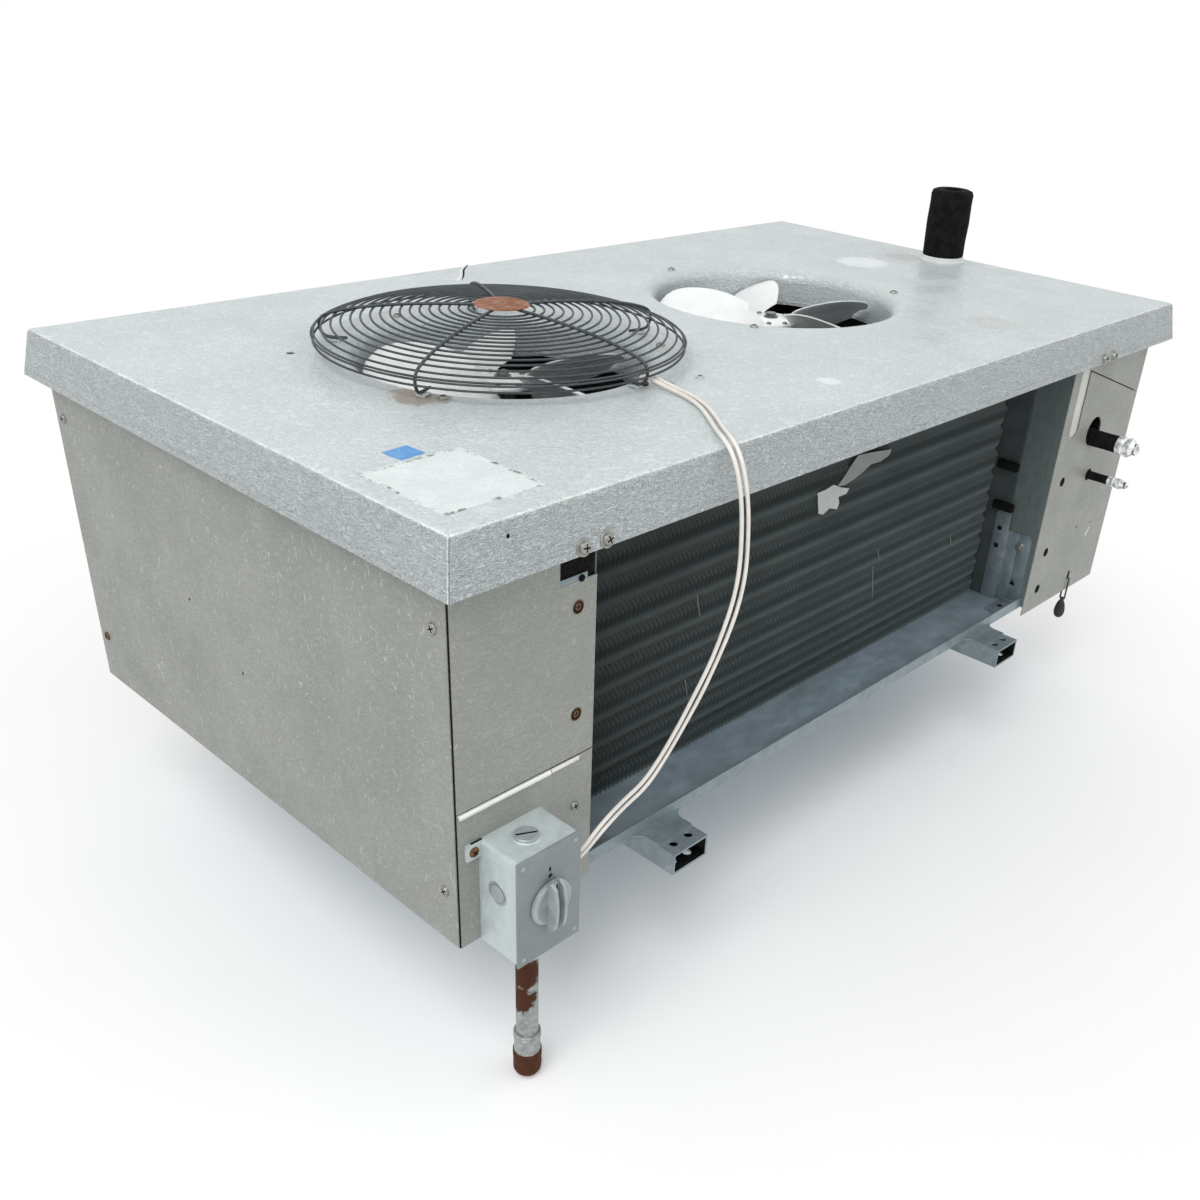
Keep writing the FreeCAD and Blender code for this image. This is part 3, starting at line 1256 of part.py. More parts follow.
def switch_body():
    """The switch behind the cover, bored for the knob's spindle."""
    spot = (BOX_MIDDLE_X, BOX_FACE, BOX_MIDDLE_Z)
    solid = rod("switch_block", spot, "switch_body_radius", "switch_body_depth", "y")
    bore = rod("switch_bore", spot, "spindle_radius + spindle_clearance", "switch_bore_depth", "y")
    return node(cut("switch_body", solid, [bore]), "switch_body")


def switch_knob():
    """The rotary knob: skirt, raised grip bar and spindle."""
    owner = body("switch_knob", (BOX_MIDDLE_X, f"{COVER_FACE} - knob_gap", BOX_MIDDLE_Z))
    skirt = sketch(owner, "knob_skirt_outline", "XZ_Plane")
    circle(skirt, ("0", "0"), "knob_radius")
    pad(owner, "knob_skirt_pad", skirt, "knob_skirt")
    grip = sketch(owner, "knob_grip_outline", "XZ_Plane")
    rectangle(grip, ("-knob_bar_width / 2", "-knob_bar_length / 2"),
              ("knob_bar_width / 2", "knob_bar_length / 2"))
    bar = pad(owner, "knob_bar", grip, "knob_bar_height")
    face = -reading("knob_bar_height")
    fillet(owner, "knob_rounds", bar, lambda edge: edge.BoundBox.YMax < face + TOUCH, "knob_round")
    spindle = sketch(owner, "spindle_outline", "XZ_Plane")
    circle(spindle, ("0", "0"), "spindle_radius")
    reach = "knob_gap + cover_thickness + switch_bore_depth - shaft_end_gap"
    pad(owner, "spindle", spindle, reach, back=True)
    return node(owner, "switch_knob")


def closure_plug():
    """The slotted plug in the box's upper entry."""
    top = f"({BOX_FOOT} + box_height)"
    head = rod("plug_head", (CONDUIT_X, CONDUIT_Y, top), "plug_radius", "plug_head")
    neck = rod("plug_neck", (CONDUIT_X, CONDUIT_Y, f"{top} - box_wall"), "plug_neck_radius", "box_wall")
    slot_corner = (
        f"{CONDUIT_X} - plug_radius",
        f"{CONDUIT_Y} - plug_slot_width / 2",
        f"{top} + plug_head - plug_slot_depth",
    )
    slot = block("plug_slot", slot_corner, ("2 * plug_radius", "plug_slot_width", "plug_slot_depth"))
    return node(cut("closure_plug", fuse("plug_solid", [head, neck]), [slot]), "closure_plug")


def conduit():
    """The conduit below the box: connector, pipe, and a coupling with a cap at its lower end."""
    bore = "(conduit_radius - conduit_wall)"
    outside = rod("connector_outside", (CONDUIT_X, CONDUIT_Y, CONNECTOR_FOOT), "connector_radius",
                  "connector_height")
    neck = rod("connector_neck", (CONDUIT_X, CONDUIT_Y, BOX_FOOT), "connector_neck_radius", "box_wall")
    seat = rod("connector_seat", (CONDUIT_X, CONDUIT_Y, CONNECTOR_FOOT), "conduit_radius", "conduit_seat")
    way = rod("connector_way", (CONDUIT_X, CONDUIT_Y, CONNECTOR_FOOT), bore, "connector_height + box_wall")
    node(cut("conduit_connector", fuse("connector_solid", [outside, neck]), [seat, way]), "conduit_connector")
    pipe_foot = (CONDUIT_X, CONDUIT_Y, CONDUIT_FOOT)
    node(pipe("conduit_stub", pipe_foot, "conduit_radius", bore, "conduit_length"), "conduit_stub")
    cap_foot = f"({CONDUIT_FOOT} + cap_seat - cap_height)"
    cap = rod("cap", (CONDUIT_X, CONDUIT_Y, cap_foot), "cap_radius", "cap_height")
    coupling = rod("coupling", (CONDUIT_X, CONDUIT_Y, f"{cap_foot} + cap_height"), "coupling_radius",
                   "coupling_height")
    seat = rod("cap_bore", pipe_foot, "conduit_radius", "cap_seat + coupling_height")
    node(cut("conduit_cap", fuse("cap_solid", [cap, coupling]), [seat]), "conduit_cap")


# Fasteners

def screw(name, spot, axis, washer=False):
    """A pan-head screw that goes into a surface along an axis, with or without a washer."""
    lift = "washer_sheet" if washer else "0"
    head = rod(name + "_head", ("0", "0", f"-screw_head_height - {lift}"), "screw_head_radius",
               "screw_head_height")
    shank = rod(name + "_shank", ("0", "0", f"-{lift}"), "screw_shank_radius", f"screw_shank_length + {lift}")
    solids = [head, shank]
    if washer:
        solids.append(rod(name + "_washer", ("0", "0", f"-{lift}"), "washer_radius", "washer_sheet"))
    return place(fuse(name, solids), spot, axis)


def rim_bolts():
    """The washered bolts in the pan's flared rim, at the front and at the back."""
    bolts = []
    sides = (("front", RIM_BOLT_Y, Vector(-1, 0, 0)), ("back", f"-{RIM_BOLT_Y}", Vector(1, 0, 0)))
    for side, y, axis in sides:
        for index, x in enumerate(RIM_BOLT_X):
            bolt = screw(f"rim_bolt_{side}_{index}", (x, y, RIM_BOLT_Z), "z", washer=True)
            bolts.append(turned(bolt, axis, "90 deg + atan(rim_flare / rim_depth)"))
    return node(group("rim_bolts", bolts), "rim_bolts")


def panel_screws():
    """The screws of the corner panels, the end panels and the switch box's lug."""
    columns = ((LEFT_SCREW_X, LEFT_SCREW_Z), (RIGHT_SCREW_X, RIGHT_SCREW_Z))
    faces = ((FACE, "y"), (f"-{FACE}", "-y"))
    ends = ((END_LEFT, "x"), (END_RIGHT, "-x"))
    spots = [((x, y, z), axis) for x, heights in columns for z in heights for y, axis in faces]
    spots += [((x, y, z), axis) for x, axis in ends for y in END_SCREW_Y for z in END_SCREW_Z]
    spots.append((LUG_SCREW, "y"))
    screws = [screw(f"panel_screw_{index}", spot, axis) for index, (spot, axis) in enumerate(spots)]
    return node(group("panel_screws", screws), "panel_screws")


def motor_screws():
    """The screws that hold the motor mounts up to the pan."""
    spots = [spot for centre_x in (FAN_LEFT_X, FAN_RIGHT_X) for spot in mount_screw_spots(centre_x)]
    screws = [screw(f"motor_screw_{index}", (x, y, TOP), "-z") for index, (x, y) in enumerate(spots)]
    return node(group("motor_screws", screws), "motor_screws")


# Hanging plug

def drop_plug():
    """A wire loop through the service panel's slot, and the plug that hangs from it."""
    pivot = f"({HASP_Z} - hasp_slot_height / 2 + hasp_wire + hasp_rest_gap)"
    owner = body("hasp_loop", (HASP_X, HASP_Y, pivot))
    way = sketch(owner, "loop_way", "YZ_Plane")
    outline(way, [
        ("0", "0"),
        ("hasp_stand_off - hasp_bend", "0", "hasp_bend", "right"),
        ("hasp_stand_off", "-hasp_bend"),
        ("hasp_stand_off", "hasp_bend - hasp_drop", "hasp_bend", "right"),
        ("hasp_stand_off - hasp_bend", "-hasp_drop"),
        ("hasp_bend - hasp_stand_off", "-hasp_drop", "hasp_bend", "right"),
        ("-hasp_stand_off", "hasp_bend - hasp_drop"),
        ("-hasp_stand_off", "-hasp_bend", "hasp_bend", "right"),
        ("hasp_bend - hasp_stand_off", "0"),
    ])
    section = sketch(owner, "loop_section", "XZ_Plane")
    circle(section, ("0", "0"), "hasp_wire")
    wire = owner.newObject("PartDesign::AdditivePipe", "loop")
    wire.Profile = section
    wire.Spine = way
    node(owner, "hasp_loop")
    bar = f"({pivot} - hasp_drop)"
    owner = body("drop_plug_body", (HASP_X, HASP_Y, bar))
    drawing = sketch(owner, "plug_profile", "XZ_Plane")
    low = "(2 * hasp_wire - drop_plug_length)"
    outline(drawing, [
        ("0", low),
        ("drop_plug_tip_radius", f"{low} + drop_plug_tip_height"),
        ("drop_plug_radius", f"{low} + drop_plug_radius"),
        ("drop_plug_shoulder", f"{low} + drop_plug_length / 2"),
        ("drop_plug_neck", "-drop_plug_neck_drop"),
        ("drop_plug_neck", "2 * hasp_wire"),
        ("0", "2 * hasp_wire"),
    ])
    revolve(owner, "plug_turned", drawing)
    eye = rod("plug_eye", (HASP_X, f"{HASP_Y} - drop_plug_radius", bar), "hasp_wire + hasp_plug_gap",
              "2 * drop_plug_radius", "y")
    return node(cut("drop_plug", owner, [eye]), "drop_plug")


# Fan leads

LEAD_SPREAD = {"a": "lead_spread", "b": "-lead_spread"}

# Share of the shorter run beside a turn that its arc takes
ARC_SHARE = 0.45

# Places along each lead over the pan and down its front, from the casing's front left top corner
LEADS_OVER_PAN = {
    "a": (
        (376.6, 167.1, 9.3), (377.6, 159.8, 9.4), (380.2, 146.4, 6.4), (382.3, 130.0, 3.2),
        (379.0, 108.0, 2.6), (367.5, 80.0, 2.7), (347.0, 50.0, 2.6), (325.0, 22.0, 3.4),
        (310.0, 2.0, 6.0), (303.5, -14.0, -1.5), (303.0, -23.0, -20.0), (306.0, -27.0, -46.0),
        (309.0, -28.0, -77.0), (309.5, -29.0, -110.0), (306.0, -28.0, -140.0), (296.5, -27.0, -168.0),
        (282.0, -26.0, -196.0), (267.0, -23.5, -226.0), (250.0, -20.0, -254.0), (230.0, -18.0, -281.0),
    ),
    "b": (
        (370.2, 167.1, 9.3), (371.1, 159.8, 9.3), (373.6, 146.6, 6.2), (375.7, 130.5, 3.0),
        (372.4, 110.5, 2.6), (361.5, 84.0, 2.7), (341.5, 55.0, 2.6), (319.5, 27.0, 3.2),
        (303.5, 5.5, 5.8), (296.5, -12.0, -1.5), (296.0, -22.0, -21.0), (298.5, -26.0, -47.0),
        (300.5, -27.5, -78.0), (301.0, -28.0, -110.0), (297.5, -26.5, -140.0), (288.0, -25.5, -167.0),
        (274.0, -25.0, -196.0), (259.0, -21.5, -225.0), (242.5, -19.0, -253.0), (223.0, -17.0, -279.0),
    ),
}

# Places along each lead on its way to the switch box, from the middle of the box's side bushing
LEADS_AT_BOX = {
    "a": ((98.5, -6.0, 43.0), (70.5, -4.0, 32.0), (45.0, -2.5, 17.5)),
    "b": ((95.5, -4.5, 49.0), (67.5, -3.0, 38.0), (41.3, -1.5, 23.0)),
}


def lead_places(name):
    """The places that one lead runs through, from the pan's grommet to the box's bushing."""
    corner = Vector(reading(LEFT), reading(FRONT), reading(TOP))
    bushing_x = reading(f"{BOX_LEFT} + box_width + side_bushing_reach")
    bushing = Vector(bushing_x, reading(CONDUIT_Y), reading(BOX_MIDDLE_Z))
    spread = reading(LEAD_SPREAD[name])
    start = Vector(reading(GROMMET_X) + spread, reading(GROMMET_Y), corner.z + reading("grommet_height"))
    end = bushing - Vector(0, 0, spread)
    places = [start, start + Vector(0, 0, reading("lead_rise"))]
    places += [corner + Vector(*spot) for spot in LEADS_OVER_PAN[name]]
    places += [bushing + Vector(*spot) for spot in LEADS_AT_BOX[name]]
    return places + [end + Vector(reading("lead_run_in"), 0, 0), end]


def bend_radius(before, here, after):
    """The radius of the arc that rounds one place of a lead."""
    shorter = min((here - before).Length, (after - here).Length)
    return ARC_SHARE * shorter / math.tan((here - before).getAngle(after - here) / 2)


def lead_wire(places):
    """Straight runs joined by tangent arcs through the places of a lead."""
    edges = []
    start = places[0]
    for before, here, after in zip(places, places[1:], places[2:]):
        along = (here - before).normalize()
        away = (after - here).normalize()
        shorter = min((here - before).Length, (after - here).Length)
        half_turn = along.getAngle(away) / 2
        arc_start = here - along * (ARC_SHARE * shorter)
        arc_end = here + away * (ARC_SHARE * shorter)
        inward = (away - along).normalize()
        depth = bend_radius(before, here, after) * (1 / math.cos(half_turn) - 1)
        edges.append(Part.LineSegment(start, arc_start).toShape())
        edges.append(Part.Arc(arc_start, here + inward * depth, arc_end).toShape())
        start = arc_end
    edges.append(Part.LineSegment(start, places[-1]).toShape())
    return Part.Wire(edges)


def fan_lead(name):
    """One round lead from the pan's grommet over the front rim to the switch box."""
    places = lead_places(name)
    radius = reading("lead_radius")
    path = lead_wire(places)
    profile = Part.Wire(Part.makeCircle(radius, places[0], places[1] - places[0]))
    lead = document.addObject("Part::Feature", f"fan_lead_{name}")
    lead.Shape = path.makePipeShell([profile], True, False)
    radii = [round(bend_radius(*spots), 1) for spots in zip(places, places[1:], places[2:])]
    print(f"fan_lead_{name} bend radii", radii)
    print(f"fan_lead_{name} length", round(path.Length, 1))
    share = lead.Shape.Volume / (math.pi * radius ** 2 * path.Length)
    print(f"fan_lead_{name} volume over section times length", share)
    return node(lead, f"fan_lead_{name}")


def lead_grommet():
    """The grommet in the pan that the leads come up through."""
    head = rod("grommet_head", (GROMMET_X, GROMMET_Y, TOP), "grommet_radius", "grommet_height")
    neck = rod("grommet_neck", (GROMMET_X, GROMMET_Y, UNDER_PAN), "grommet_neck_radius", "pan_sheet")
    foot = rod("grommet_foot", (GROMMET_X, GROMMET_Y, f"{UNDER_PAN} - pan_sheet"), "grommet_radius",
               "pan_sheet")
    return node(fuse("lead_grommet", [head, neck, foot]), "lead_grommet")


def check_document():
    """Stop if any object of the document is in error, or any sub-part has no valid shape."""
    for thing in document.Objects:
        if "Invalid" in thing.State or "Error" in thing.State:
            raise RuntimeError(f"{thing.Name} did not build")
    for sub_part in nodes:
        if sub_part.Shape.isNull() or not sub_part.Shape.isValid():
            raise RuntimeError(f"{sub_part.Label} has no valid shape")


fill_sheet()
drain_pan()
end_panel("left")
end_panel("right")
front_left_panels()
front_right_panels()
back_panels()
recess_cheeks()
mounting_plate()
hanger_rail("left")
hanger_rail("right")
coil_brackets()
tube_sheets()
coil_fins()
coil_bends()
fan("left", FAN_LEFT_X, "left_fan_turn")
fan("right", FAN_RIGHT_X, "right_fan_turn")
for fan_side, fan_x in (("left", FAN_LEFT_X), ("right", FAN_RIGHT_X)):
    fan_shaft(fan_side, fan_x)
    fan_motor(fan_side, fan_x)
    motor_mount(fan_side, fan_x)
fan_guard()
guard_hub_disc()
guard_clips()
drain()
stub("suction", SUCTION_X, "suction_height", f"({COLUMN_FAR} - header_radius + pipe_seat)")
stub("liquid", LIQUID_X, "liquid_height", f"({COLUMN_NEAR} - distributor_length / 2)")
suction_header()
distributor()
switch_box()
switch_cover()
switch_body()
switch_knob()
closure_plug()
conduit()
lead_grommet()
rim_bolts()
panel_screws()
motor_screws()
drop_plug()
fan_lead("a")
fan_lead("b")
document.recompute()
check_document()
os.makedirs("parts", exist_ok=True)
for sub_part in nodes:
    sub_part.Shape.exportStep(f"parts/{sub_part.Label}.step")
print("nodes", len(nodes))
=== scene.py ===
import math

import bmesh
import bpy
from bpy.props import FloatProperty, FloatVectorProperty, IntProperty, PointerProperty
from bpy.types import Operator, Panel, PropertyGroup
from mathutils import Matrix, Vector, noise


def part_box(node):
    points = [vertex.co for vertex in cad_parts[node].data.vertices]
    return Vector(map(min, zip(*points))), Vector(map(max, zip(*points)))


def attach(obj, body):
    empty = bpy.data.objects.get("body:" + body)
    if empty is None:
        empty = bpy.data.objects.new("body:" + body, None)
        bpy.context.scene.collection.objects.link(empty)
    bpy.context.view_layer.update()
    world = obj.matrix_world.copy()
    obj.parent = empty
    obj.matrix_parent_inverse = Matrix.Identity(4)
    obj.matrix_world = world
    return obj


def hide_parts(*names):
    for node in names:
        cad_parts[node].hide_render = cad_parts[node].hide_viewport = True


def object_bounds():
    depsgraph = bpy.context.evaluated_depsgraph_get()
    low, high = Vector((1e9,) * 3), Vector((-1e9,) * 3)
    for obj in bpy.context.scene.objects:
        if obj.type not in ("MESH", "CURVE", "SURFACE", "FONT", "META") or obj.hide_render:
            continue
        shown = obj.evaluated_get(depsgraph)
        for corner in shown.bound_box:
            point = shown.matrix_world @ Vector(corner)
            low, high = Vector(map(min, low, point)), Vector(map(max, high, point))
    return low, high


bl_info = {
    "name": "Unit Cooler",
    "version": (1, 0, 0),
    "blender": (4, 5, 0),
    "location": "3D View > Sidebar > Unit Cooler",
    "description": "Dresses a ceiling unit cooler: sheet-metal casing, coils, fans, switch box and leads",
    "category": "Object",
}

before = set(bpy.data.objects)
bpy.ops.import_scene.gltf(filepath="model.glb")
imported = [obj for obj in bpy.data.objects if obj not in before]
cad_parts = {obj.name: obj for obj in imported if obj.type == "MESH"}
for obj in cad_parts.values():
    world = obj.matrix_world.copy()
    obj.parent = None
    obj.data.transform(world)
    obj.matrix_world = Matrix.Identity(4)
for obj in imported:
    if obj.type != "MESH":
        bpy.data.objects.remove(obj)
CAD_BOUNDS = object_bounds()
MM = 0.001


def shade(red, green, blue):
    """A linear colour from the 0 to 255 values it should show."""
    def linear(value):
        share = value / 255
        return share / 12.92 if share <= 0.04045 else ((share + 0.055) / 1.055) ** 2.4
    return linear(red), linear(green), linear(blue)


def colour_property(name, description, default):
    return FloatVectorProperty(name=name, description=description, default=default, subtype="COLOR", min=0,
                               max=1, size=3)


def length_property(name, description, millimetres):
    return FloatProperty(name=name, description=description, default=millimetres * MM, unit="LENGTH")


class CoolerColours(PropertyGroup):
    """The colours of the cooler's sheet metal, fans and fittings."""
    pan: colour_property("Pan", "Embossed aluminium of the drain pan", shade(203, 211, 212))
    casing: colour_property("Casing", "Embossed sheet of the end and corner panels", shade(152, 155, 149))
    galvanised: colour_property("Galvanised", "Mounting plate, rails and brackets", shade(132, 146, 152))
    fins: colour_property("Fins", "Coil fins", shade(127, 139, 139))
    blades: colour_property("Blades", "Fan blades", shade(238, 240, 240))
    guard: colour_property("Guard", "Wire guard", shade(56, 64, 66))
    switch: colour_property("Switch box", "Cast switch box and cover", shade(190, 201, 202))
    rust: colour_property("Rust", "Rust on the conduit and its cap", shade(78, 44, 28))
    leads: colour_property("Leads", "Insulation of the fan leads", shade(226, 222, 215))


class CoolerSizes(PropertyGroup):
    """The sizes of details that the CAD solids leave to the scene."""
    fin_pitch: length_property("Fin pitch", "Distance between coil fins", 6.35)
    fin_wave: length_property("Fin wave", "How far a fin's edge swings to each side", 2.2)
    tube_pitch: length_property("Tube pitch", "Height between coil tubes", 31.75)
    guard_wire: length_property("Guard wire", "Thickness of the guard's ring wires", 2.3)
    guard_rib: length_property("Guard rib", "Thickness of the guard's rib wires", 3.2)
    guard_rings: IntProperty(name="Guard rings", description="Number of rings in the wire guard", default=17)
    lead_width: length_property("Lead width", "Diameter of each fan lead", 4.0)


# Materials

class Finish:
    """A material written node by node on Object coordinates."""

    def __init__(self, name, roughness=0.5, metallic=0.0, specular=0.5):
        self.material = bpy.data.materials.new(name)
        self.material.use_nodes = True
        self.tree = self.material.node_tree
        self.shader = self.tree.nodes["Principled BSDF"]
        self.shader.inputs["Roughness"].default_value = roughness
        self.shader.inputs["Metallic"].default_value = metallic
        self.shader.inputs["Specular IOR Level"].default_value = specular
        self.place = self.tree.nodes.new("ShaderNodeTexCoord").outputs["Object"]

    def link(self, source, target):
        self.tree.links.new(source, target)

    def put(self, node, name, value):
        """Set a node's input, or link it if the value is another node's output."""
        if isinstance(value, bpy.types.NodeSocket):
            self.link(value, node.inputs[name])
        elif value is not None:
            node.inputs[name].default_value = value

    def stretch(self, scale):
        """The coordinates stretched along each axis."""
        node = self.tree.nodes.new("ShaderNodeMapping")
        node.inputs["Scale"].default_value = scale
        self.link(self.place, node.inputs["Vector"])
        return node.outputs["Vector"]

    def noise(self, size, detail=3.0, roughness=0.55, vector=None, distortion=0.0):
        """Noise whose blobs are about the given size in metres."""
        node = self.tree.nodes.new("ShaderNodeTexNoise")
        self.link(vector or self.place, node.inputs["Vector"])
        settings = {"Scale": 1 / size, "Detail": detail, "Roughness": roughness, "Distortion": distortion}
        for name, value in settings.items():
            node.inputs[name].default_value = value
        return node.outputs["Fac"]

    def blots(self, low, high, *grain):
        """Noise drawn out between two of its levels, so that it stands in blots."""
        return self.spread(self.noise(*grain), low, high)

    def cloudy(self, colour, darker, paler, *blots):
        """A colour that drifts between a darker and a paler tone."""
        return self.mix(self.blots(*blots), lighter(colour, -darker), lighter(colour, paler))

    def spots(self, tone, strength, colour, *blots):
        """A tone with spots of another colour."""
        return self.layer(tone, self.blots(*blots), strength, colour)

    def cells(self, size):
        """The distance within Voronoi cells of about the given size in metres."""
        node = self.tree.nodes.new("ShaderNodeTexVoronoi")
        self.link(self.place, node.inputs["Vector"])
        node.inputs["Scale"].default_value = 1 / size
        return node.outputs["Distance"]

    def mix(self, factor, first, second):
        """Two colours mixed by a factor."""
        node = self.tree.nodes.new("ShaderNodeMix")
        node.data_type = "RGBA"
        self.put(node, 0, factor)
        for index, value in ((6, first), (7, second)):
            if isinstance(value, tuple):
                value = (*value, 1)
            self.put(node, index, value)
        return node.outputs[2]

    def sum(self, operation, first, second):
        """Two numbers joined by a Math operation."""
        node = self.tree.nodes.new("ShaderNodeMath")
        node.operation = operation
        self.put(node, 0, first)
        self.put(node, 1, second)
        return node.outputs[0]

    def times(self, first, second):
        return self.sum("MULTIPLY", first, second)

    def minus(self, first, second):
        return self.sum("SUBTRACT", first, second)

    def off(self, value):
        """A number without its sign."""
        return self.sum("ABSOLUTE", value, None)

    def layer(self, tone, mask, strength, colour):
        """A colour laid over a tone where a mask lets it through."""
        return self.mix(self.times(mask, strength), tone, colour)

    def axis(self, name):
        """One coordinate, in metres."""
        node = self.tree.nodes.new("ShaderNodeSeparateXYZ")
        self.link(self.place, node.inputs[0])
        return node.outputs[name]

    def spread(self, value, low, high, first=0.0, last=1.0):
        """A value's way from low to high, turned smoothly into a way from first to last."""
        node = self.tree.nodes.new("ShaderNodeMapRange")
        node.interpolation_type = "SMOOTHSTEP"
        self.put(node, "Value", value)
        for name, number in (("From Min", low), ("From Max", high), ("To Min", first), ("To Max", last)):
            node.inputs[name].default_value = number
        return node.outputs["Result"]

    def near(self, spot, reach):
        """One at a spot, in metres, falling to nought at a reach from it."""
        node = self.tree.nodes.new("ShaderNodeVectorMath")
        node.operation = "DISTANCE"
        self.link(self.place, node.inputs[0])
        node.inputs[1].default_value = spot
        return self.spread(node.outputs["Value"], 0.0, reach, 1.0, 0.0)

    def between(self, value, low, high, soft):
        """One while a value lies between two others."""
        return self.times(self.spread(value, low - soft, low + soft),
                          self.spread(value, high - soft, high + soft, 1.0, 0.0))

    def colour(self, source):
        self.link(source, self.shader.inputs["Base Color"])

    def roughness(self, source):
        self.link(source, self.shader.inputs["Roughness"])

    def patchy(self, size, detail, low, high):
        """A roughness that drifts between two values."""
        self.roughness(self.spread(self.noise(size, detail), 0.3, 0.7, low, high))

    def grain(self, depth, *noise, strength=1.0):
        """Relief of plain noise."""
        self.bump(self.noise(*noise), depth, strength)

    def bump(self, height, depth, strength=1.0):
        """Relief of a depth in metres, over any relief set before."""
        node = self.tree.nodes.new("ShaderNodeBump")
        node.inputs["Strength"].default_value = strength
        node.inputs["Distance"].default_value = depth
        self.link(height, node.inputs["Height"])
        before = self.shader.inputs["Normal"].links
        if before:
            self.link(before[0].from_socket, node.inputs["Normal"])
        self.link(node.outputs["Normal"], self.shader.inputs["Normal"])


def lighter(colour, share):
    """A colour moved towards white, less so if it is dark, or towards black for a negative share."""
    if share < 0:
        return tuple(value * (1 + share) for value in colour)
    weight = share * math.sqrt(max(colour))
    return tuple(value + (1 - value) * weight for value in colour)


def stucco(finish, colour, dirt, flecks, depth, size=0.0055, shade_depth=0.34):
    """The tone and relief of weathered stucco-embossed sheet: wrinkles with painted shade, cloudy stains and
    pale flecks.
    """
    tone = finish.cloudy(colour, dirt, dirt * 0.6, 0.36, 0.68, 0.11, 5, 0.6)
    wrinkle = finish.blots(0.40, 0.60, size, 2, 0.5, finish.stretch((1, 1, 2.2)), 1.6)
    # Painted shade: the wrinkles are also drawn darker in the colour, as strongly as shade_depth.
    tone = finish.layer(tone, wrinkle, shade_depth, lighter(colour, -0.40))
    finish.bump(wrinkle, depth)
    finish.grain(0.0014, 0.15, 2, strength=0.5)
    flat = finish.stretch((1, 1, 0.5))
    return finish.spots(tone, flecks, lighter(colour, 0.45), 0.62, 0.70, 0.005, 2, 0.5, flat, 2.0)


def casing_sheet(name, colour, relief, roughness, dirt, flecks):
    """Stucco-embossed sheet of the end and corner panels."""
    finish = Finish(name, roughness=roughness, metallic=0.15)
    finish.colour(stucco(finish, colour, dirt, flecks, relief))
    finish.patchy(0.05, 3, roughness - 0.08, roughness + 0.10)
    return finish.material


PAN_MIDDLE, PAN_HALF_LENGTH, PAN_HALF_WIDTH = 0.0375, 0.620, 0.341
PAN_STAINS = (
    ((-0.402, -0.074), 0.055, 0.9, (156, 146, 134)),
    ((-0.190, -0.182), 0.022, 0.7, (150, 138, 126)),
    ((0.492, 0.059), 0.070, 0.7, (232, 238, 238)),
    ((-0.044, -0.277), 0.022, 0.6, (234, 240, 240)),
    ((0.330, -0.250), 0.060, 0.3, (176, 178, 168)),
    ((0.5815, 0.045), 0.050, 0.4, (160, 160, 152)),
)


def pan_sheet(name, colour):
    """The drain pan's bright sheet: painted highlights on bends, painted shade on flared rims and hem line, a
    few stains.
    """
    finish = Finish(name, roughness=0.38, metallic=0.2)
    tone = stucco(finish, colour, 0.05, 0.10, 0.0005, 0.0065, 0.24)
    height = finish.axis("Z")
    across = finish.off(finish.minus(finish.axis("X"), PAN_MIDDLE))
    deep = finish.off(finish.axis("Y"))
    beyond = finish.sum("MAXIMUM", finish.minus(across, PAN_HALF_LENGTH), finish.minus(deep, PAN_HALF_WIDTH))
    low = finish.spread(height, 0.4215, 0.4228, 1.0, 0.0)
    outside = finish.times(low, finish.spread(beyond, -0.004, -0.002))
    # Painted shade: the flared rims are drawn darker than the lid.
    tone = finish.layer(tone, outside, 0.42, lighter(colour, -0.36))
    # Painted shade in the rims' embossed strokes, which also carry relief.
    stroke = finish.blots(0.44, 0.56, 0.007, 2, 0.5, finish.stretch((1, 1, 2.8)), 2.2)
    stroke = finish.times(stroke, outside)
    tone = finish.layer(tone, stroke, 0.34, lighter(colour, -0.50))
    finish.bump(stroke, 0.0007)
    # Painted highlight along the bends, patchy in strength.
    bend = finish.times(finish.spread(beyond, -0.0026, -0.0008), finish.spread(height, 0.4212, 0.4226))
    bend_highlight_patches = finish.spread(finish.noise(0.03, 4, 0.6), 0.35, 0.65, 0.25, 0.75)
    tone = finish.layer(tone, bend, bend_highlight_patches, shade(246, 248, 246))
    fold = finish.minus(finish.minus(across, deep), PAN_HALF_LENGTH - PAN_HALF_WIDTH)
    # Painted highlight along the corner folds of the rim.
    corner = finish.times(finish.between(fold, -0.0002, 0.0012, 0.0003), outside)
    tone = finish.layer(tone, corner, 0.7, shade(240, 242, 239))
    # Painted shade in the crease beside each corner fold.
    crease = finish.times(finish.between(fold, -0.0014, -0.0006, 0.0003), outside)
    tone = finish.layer(tone, crease, 0.7, shade(70, 76, 76))
    # Painted shade along the hem line, which also carries relief.
    hem = finish.between(height, 0.3815, 0.3840, 0.0016)
    tone = finish.layer(tone, hem, 0.12, shade(92, 98, 98))
    for (x, y), reach, strength, stain in PAN_STAINS:
        near = finish.near((x, y, LID * MM), reach)
        patch = finish.spread(finish.sum("ADD", near, finish.noise(0.010, 5, 0.75)), 0.84, 1.12)
        tone = finish.layer(tone, patch, strength, shade(*stain))
    finish.colour(tone)
    finish.patchy(0.06, 3, 0.30, 0.48)
    finish.bump(hem, 0.0004)
    return finish.material


RAIL_OUT = 0.3175


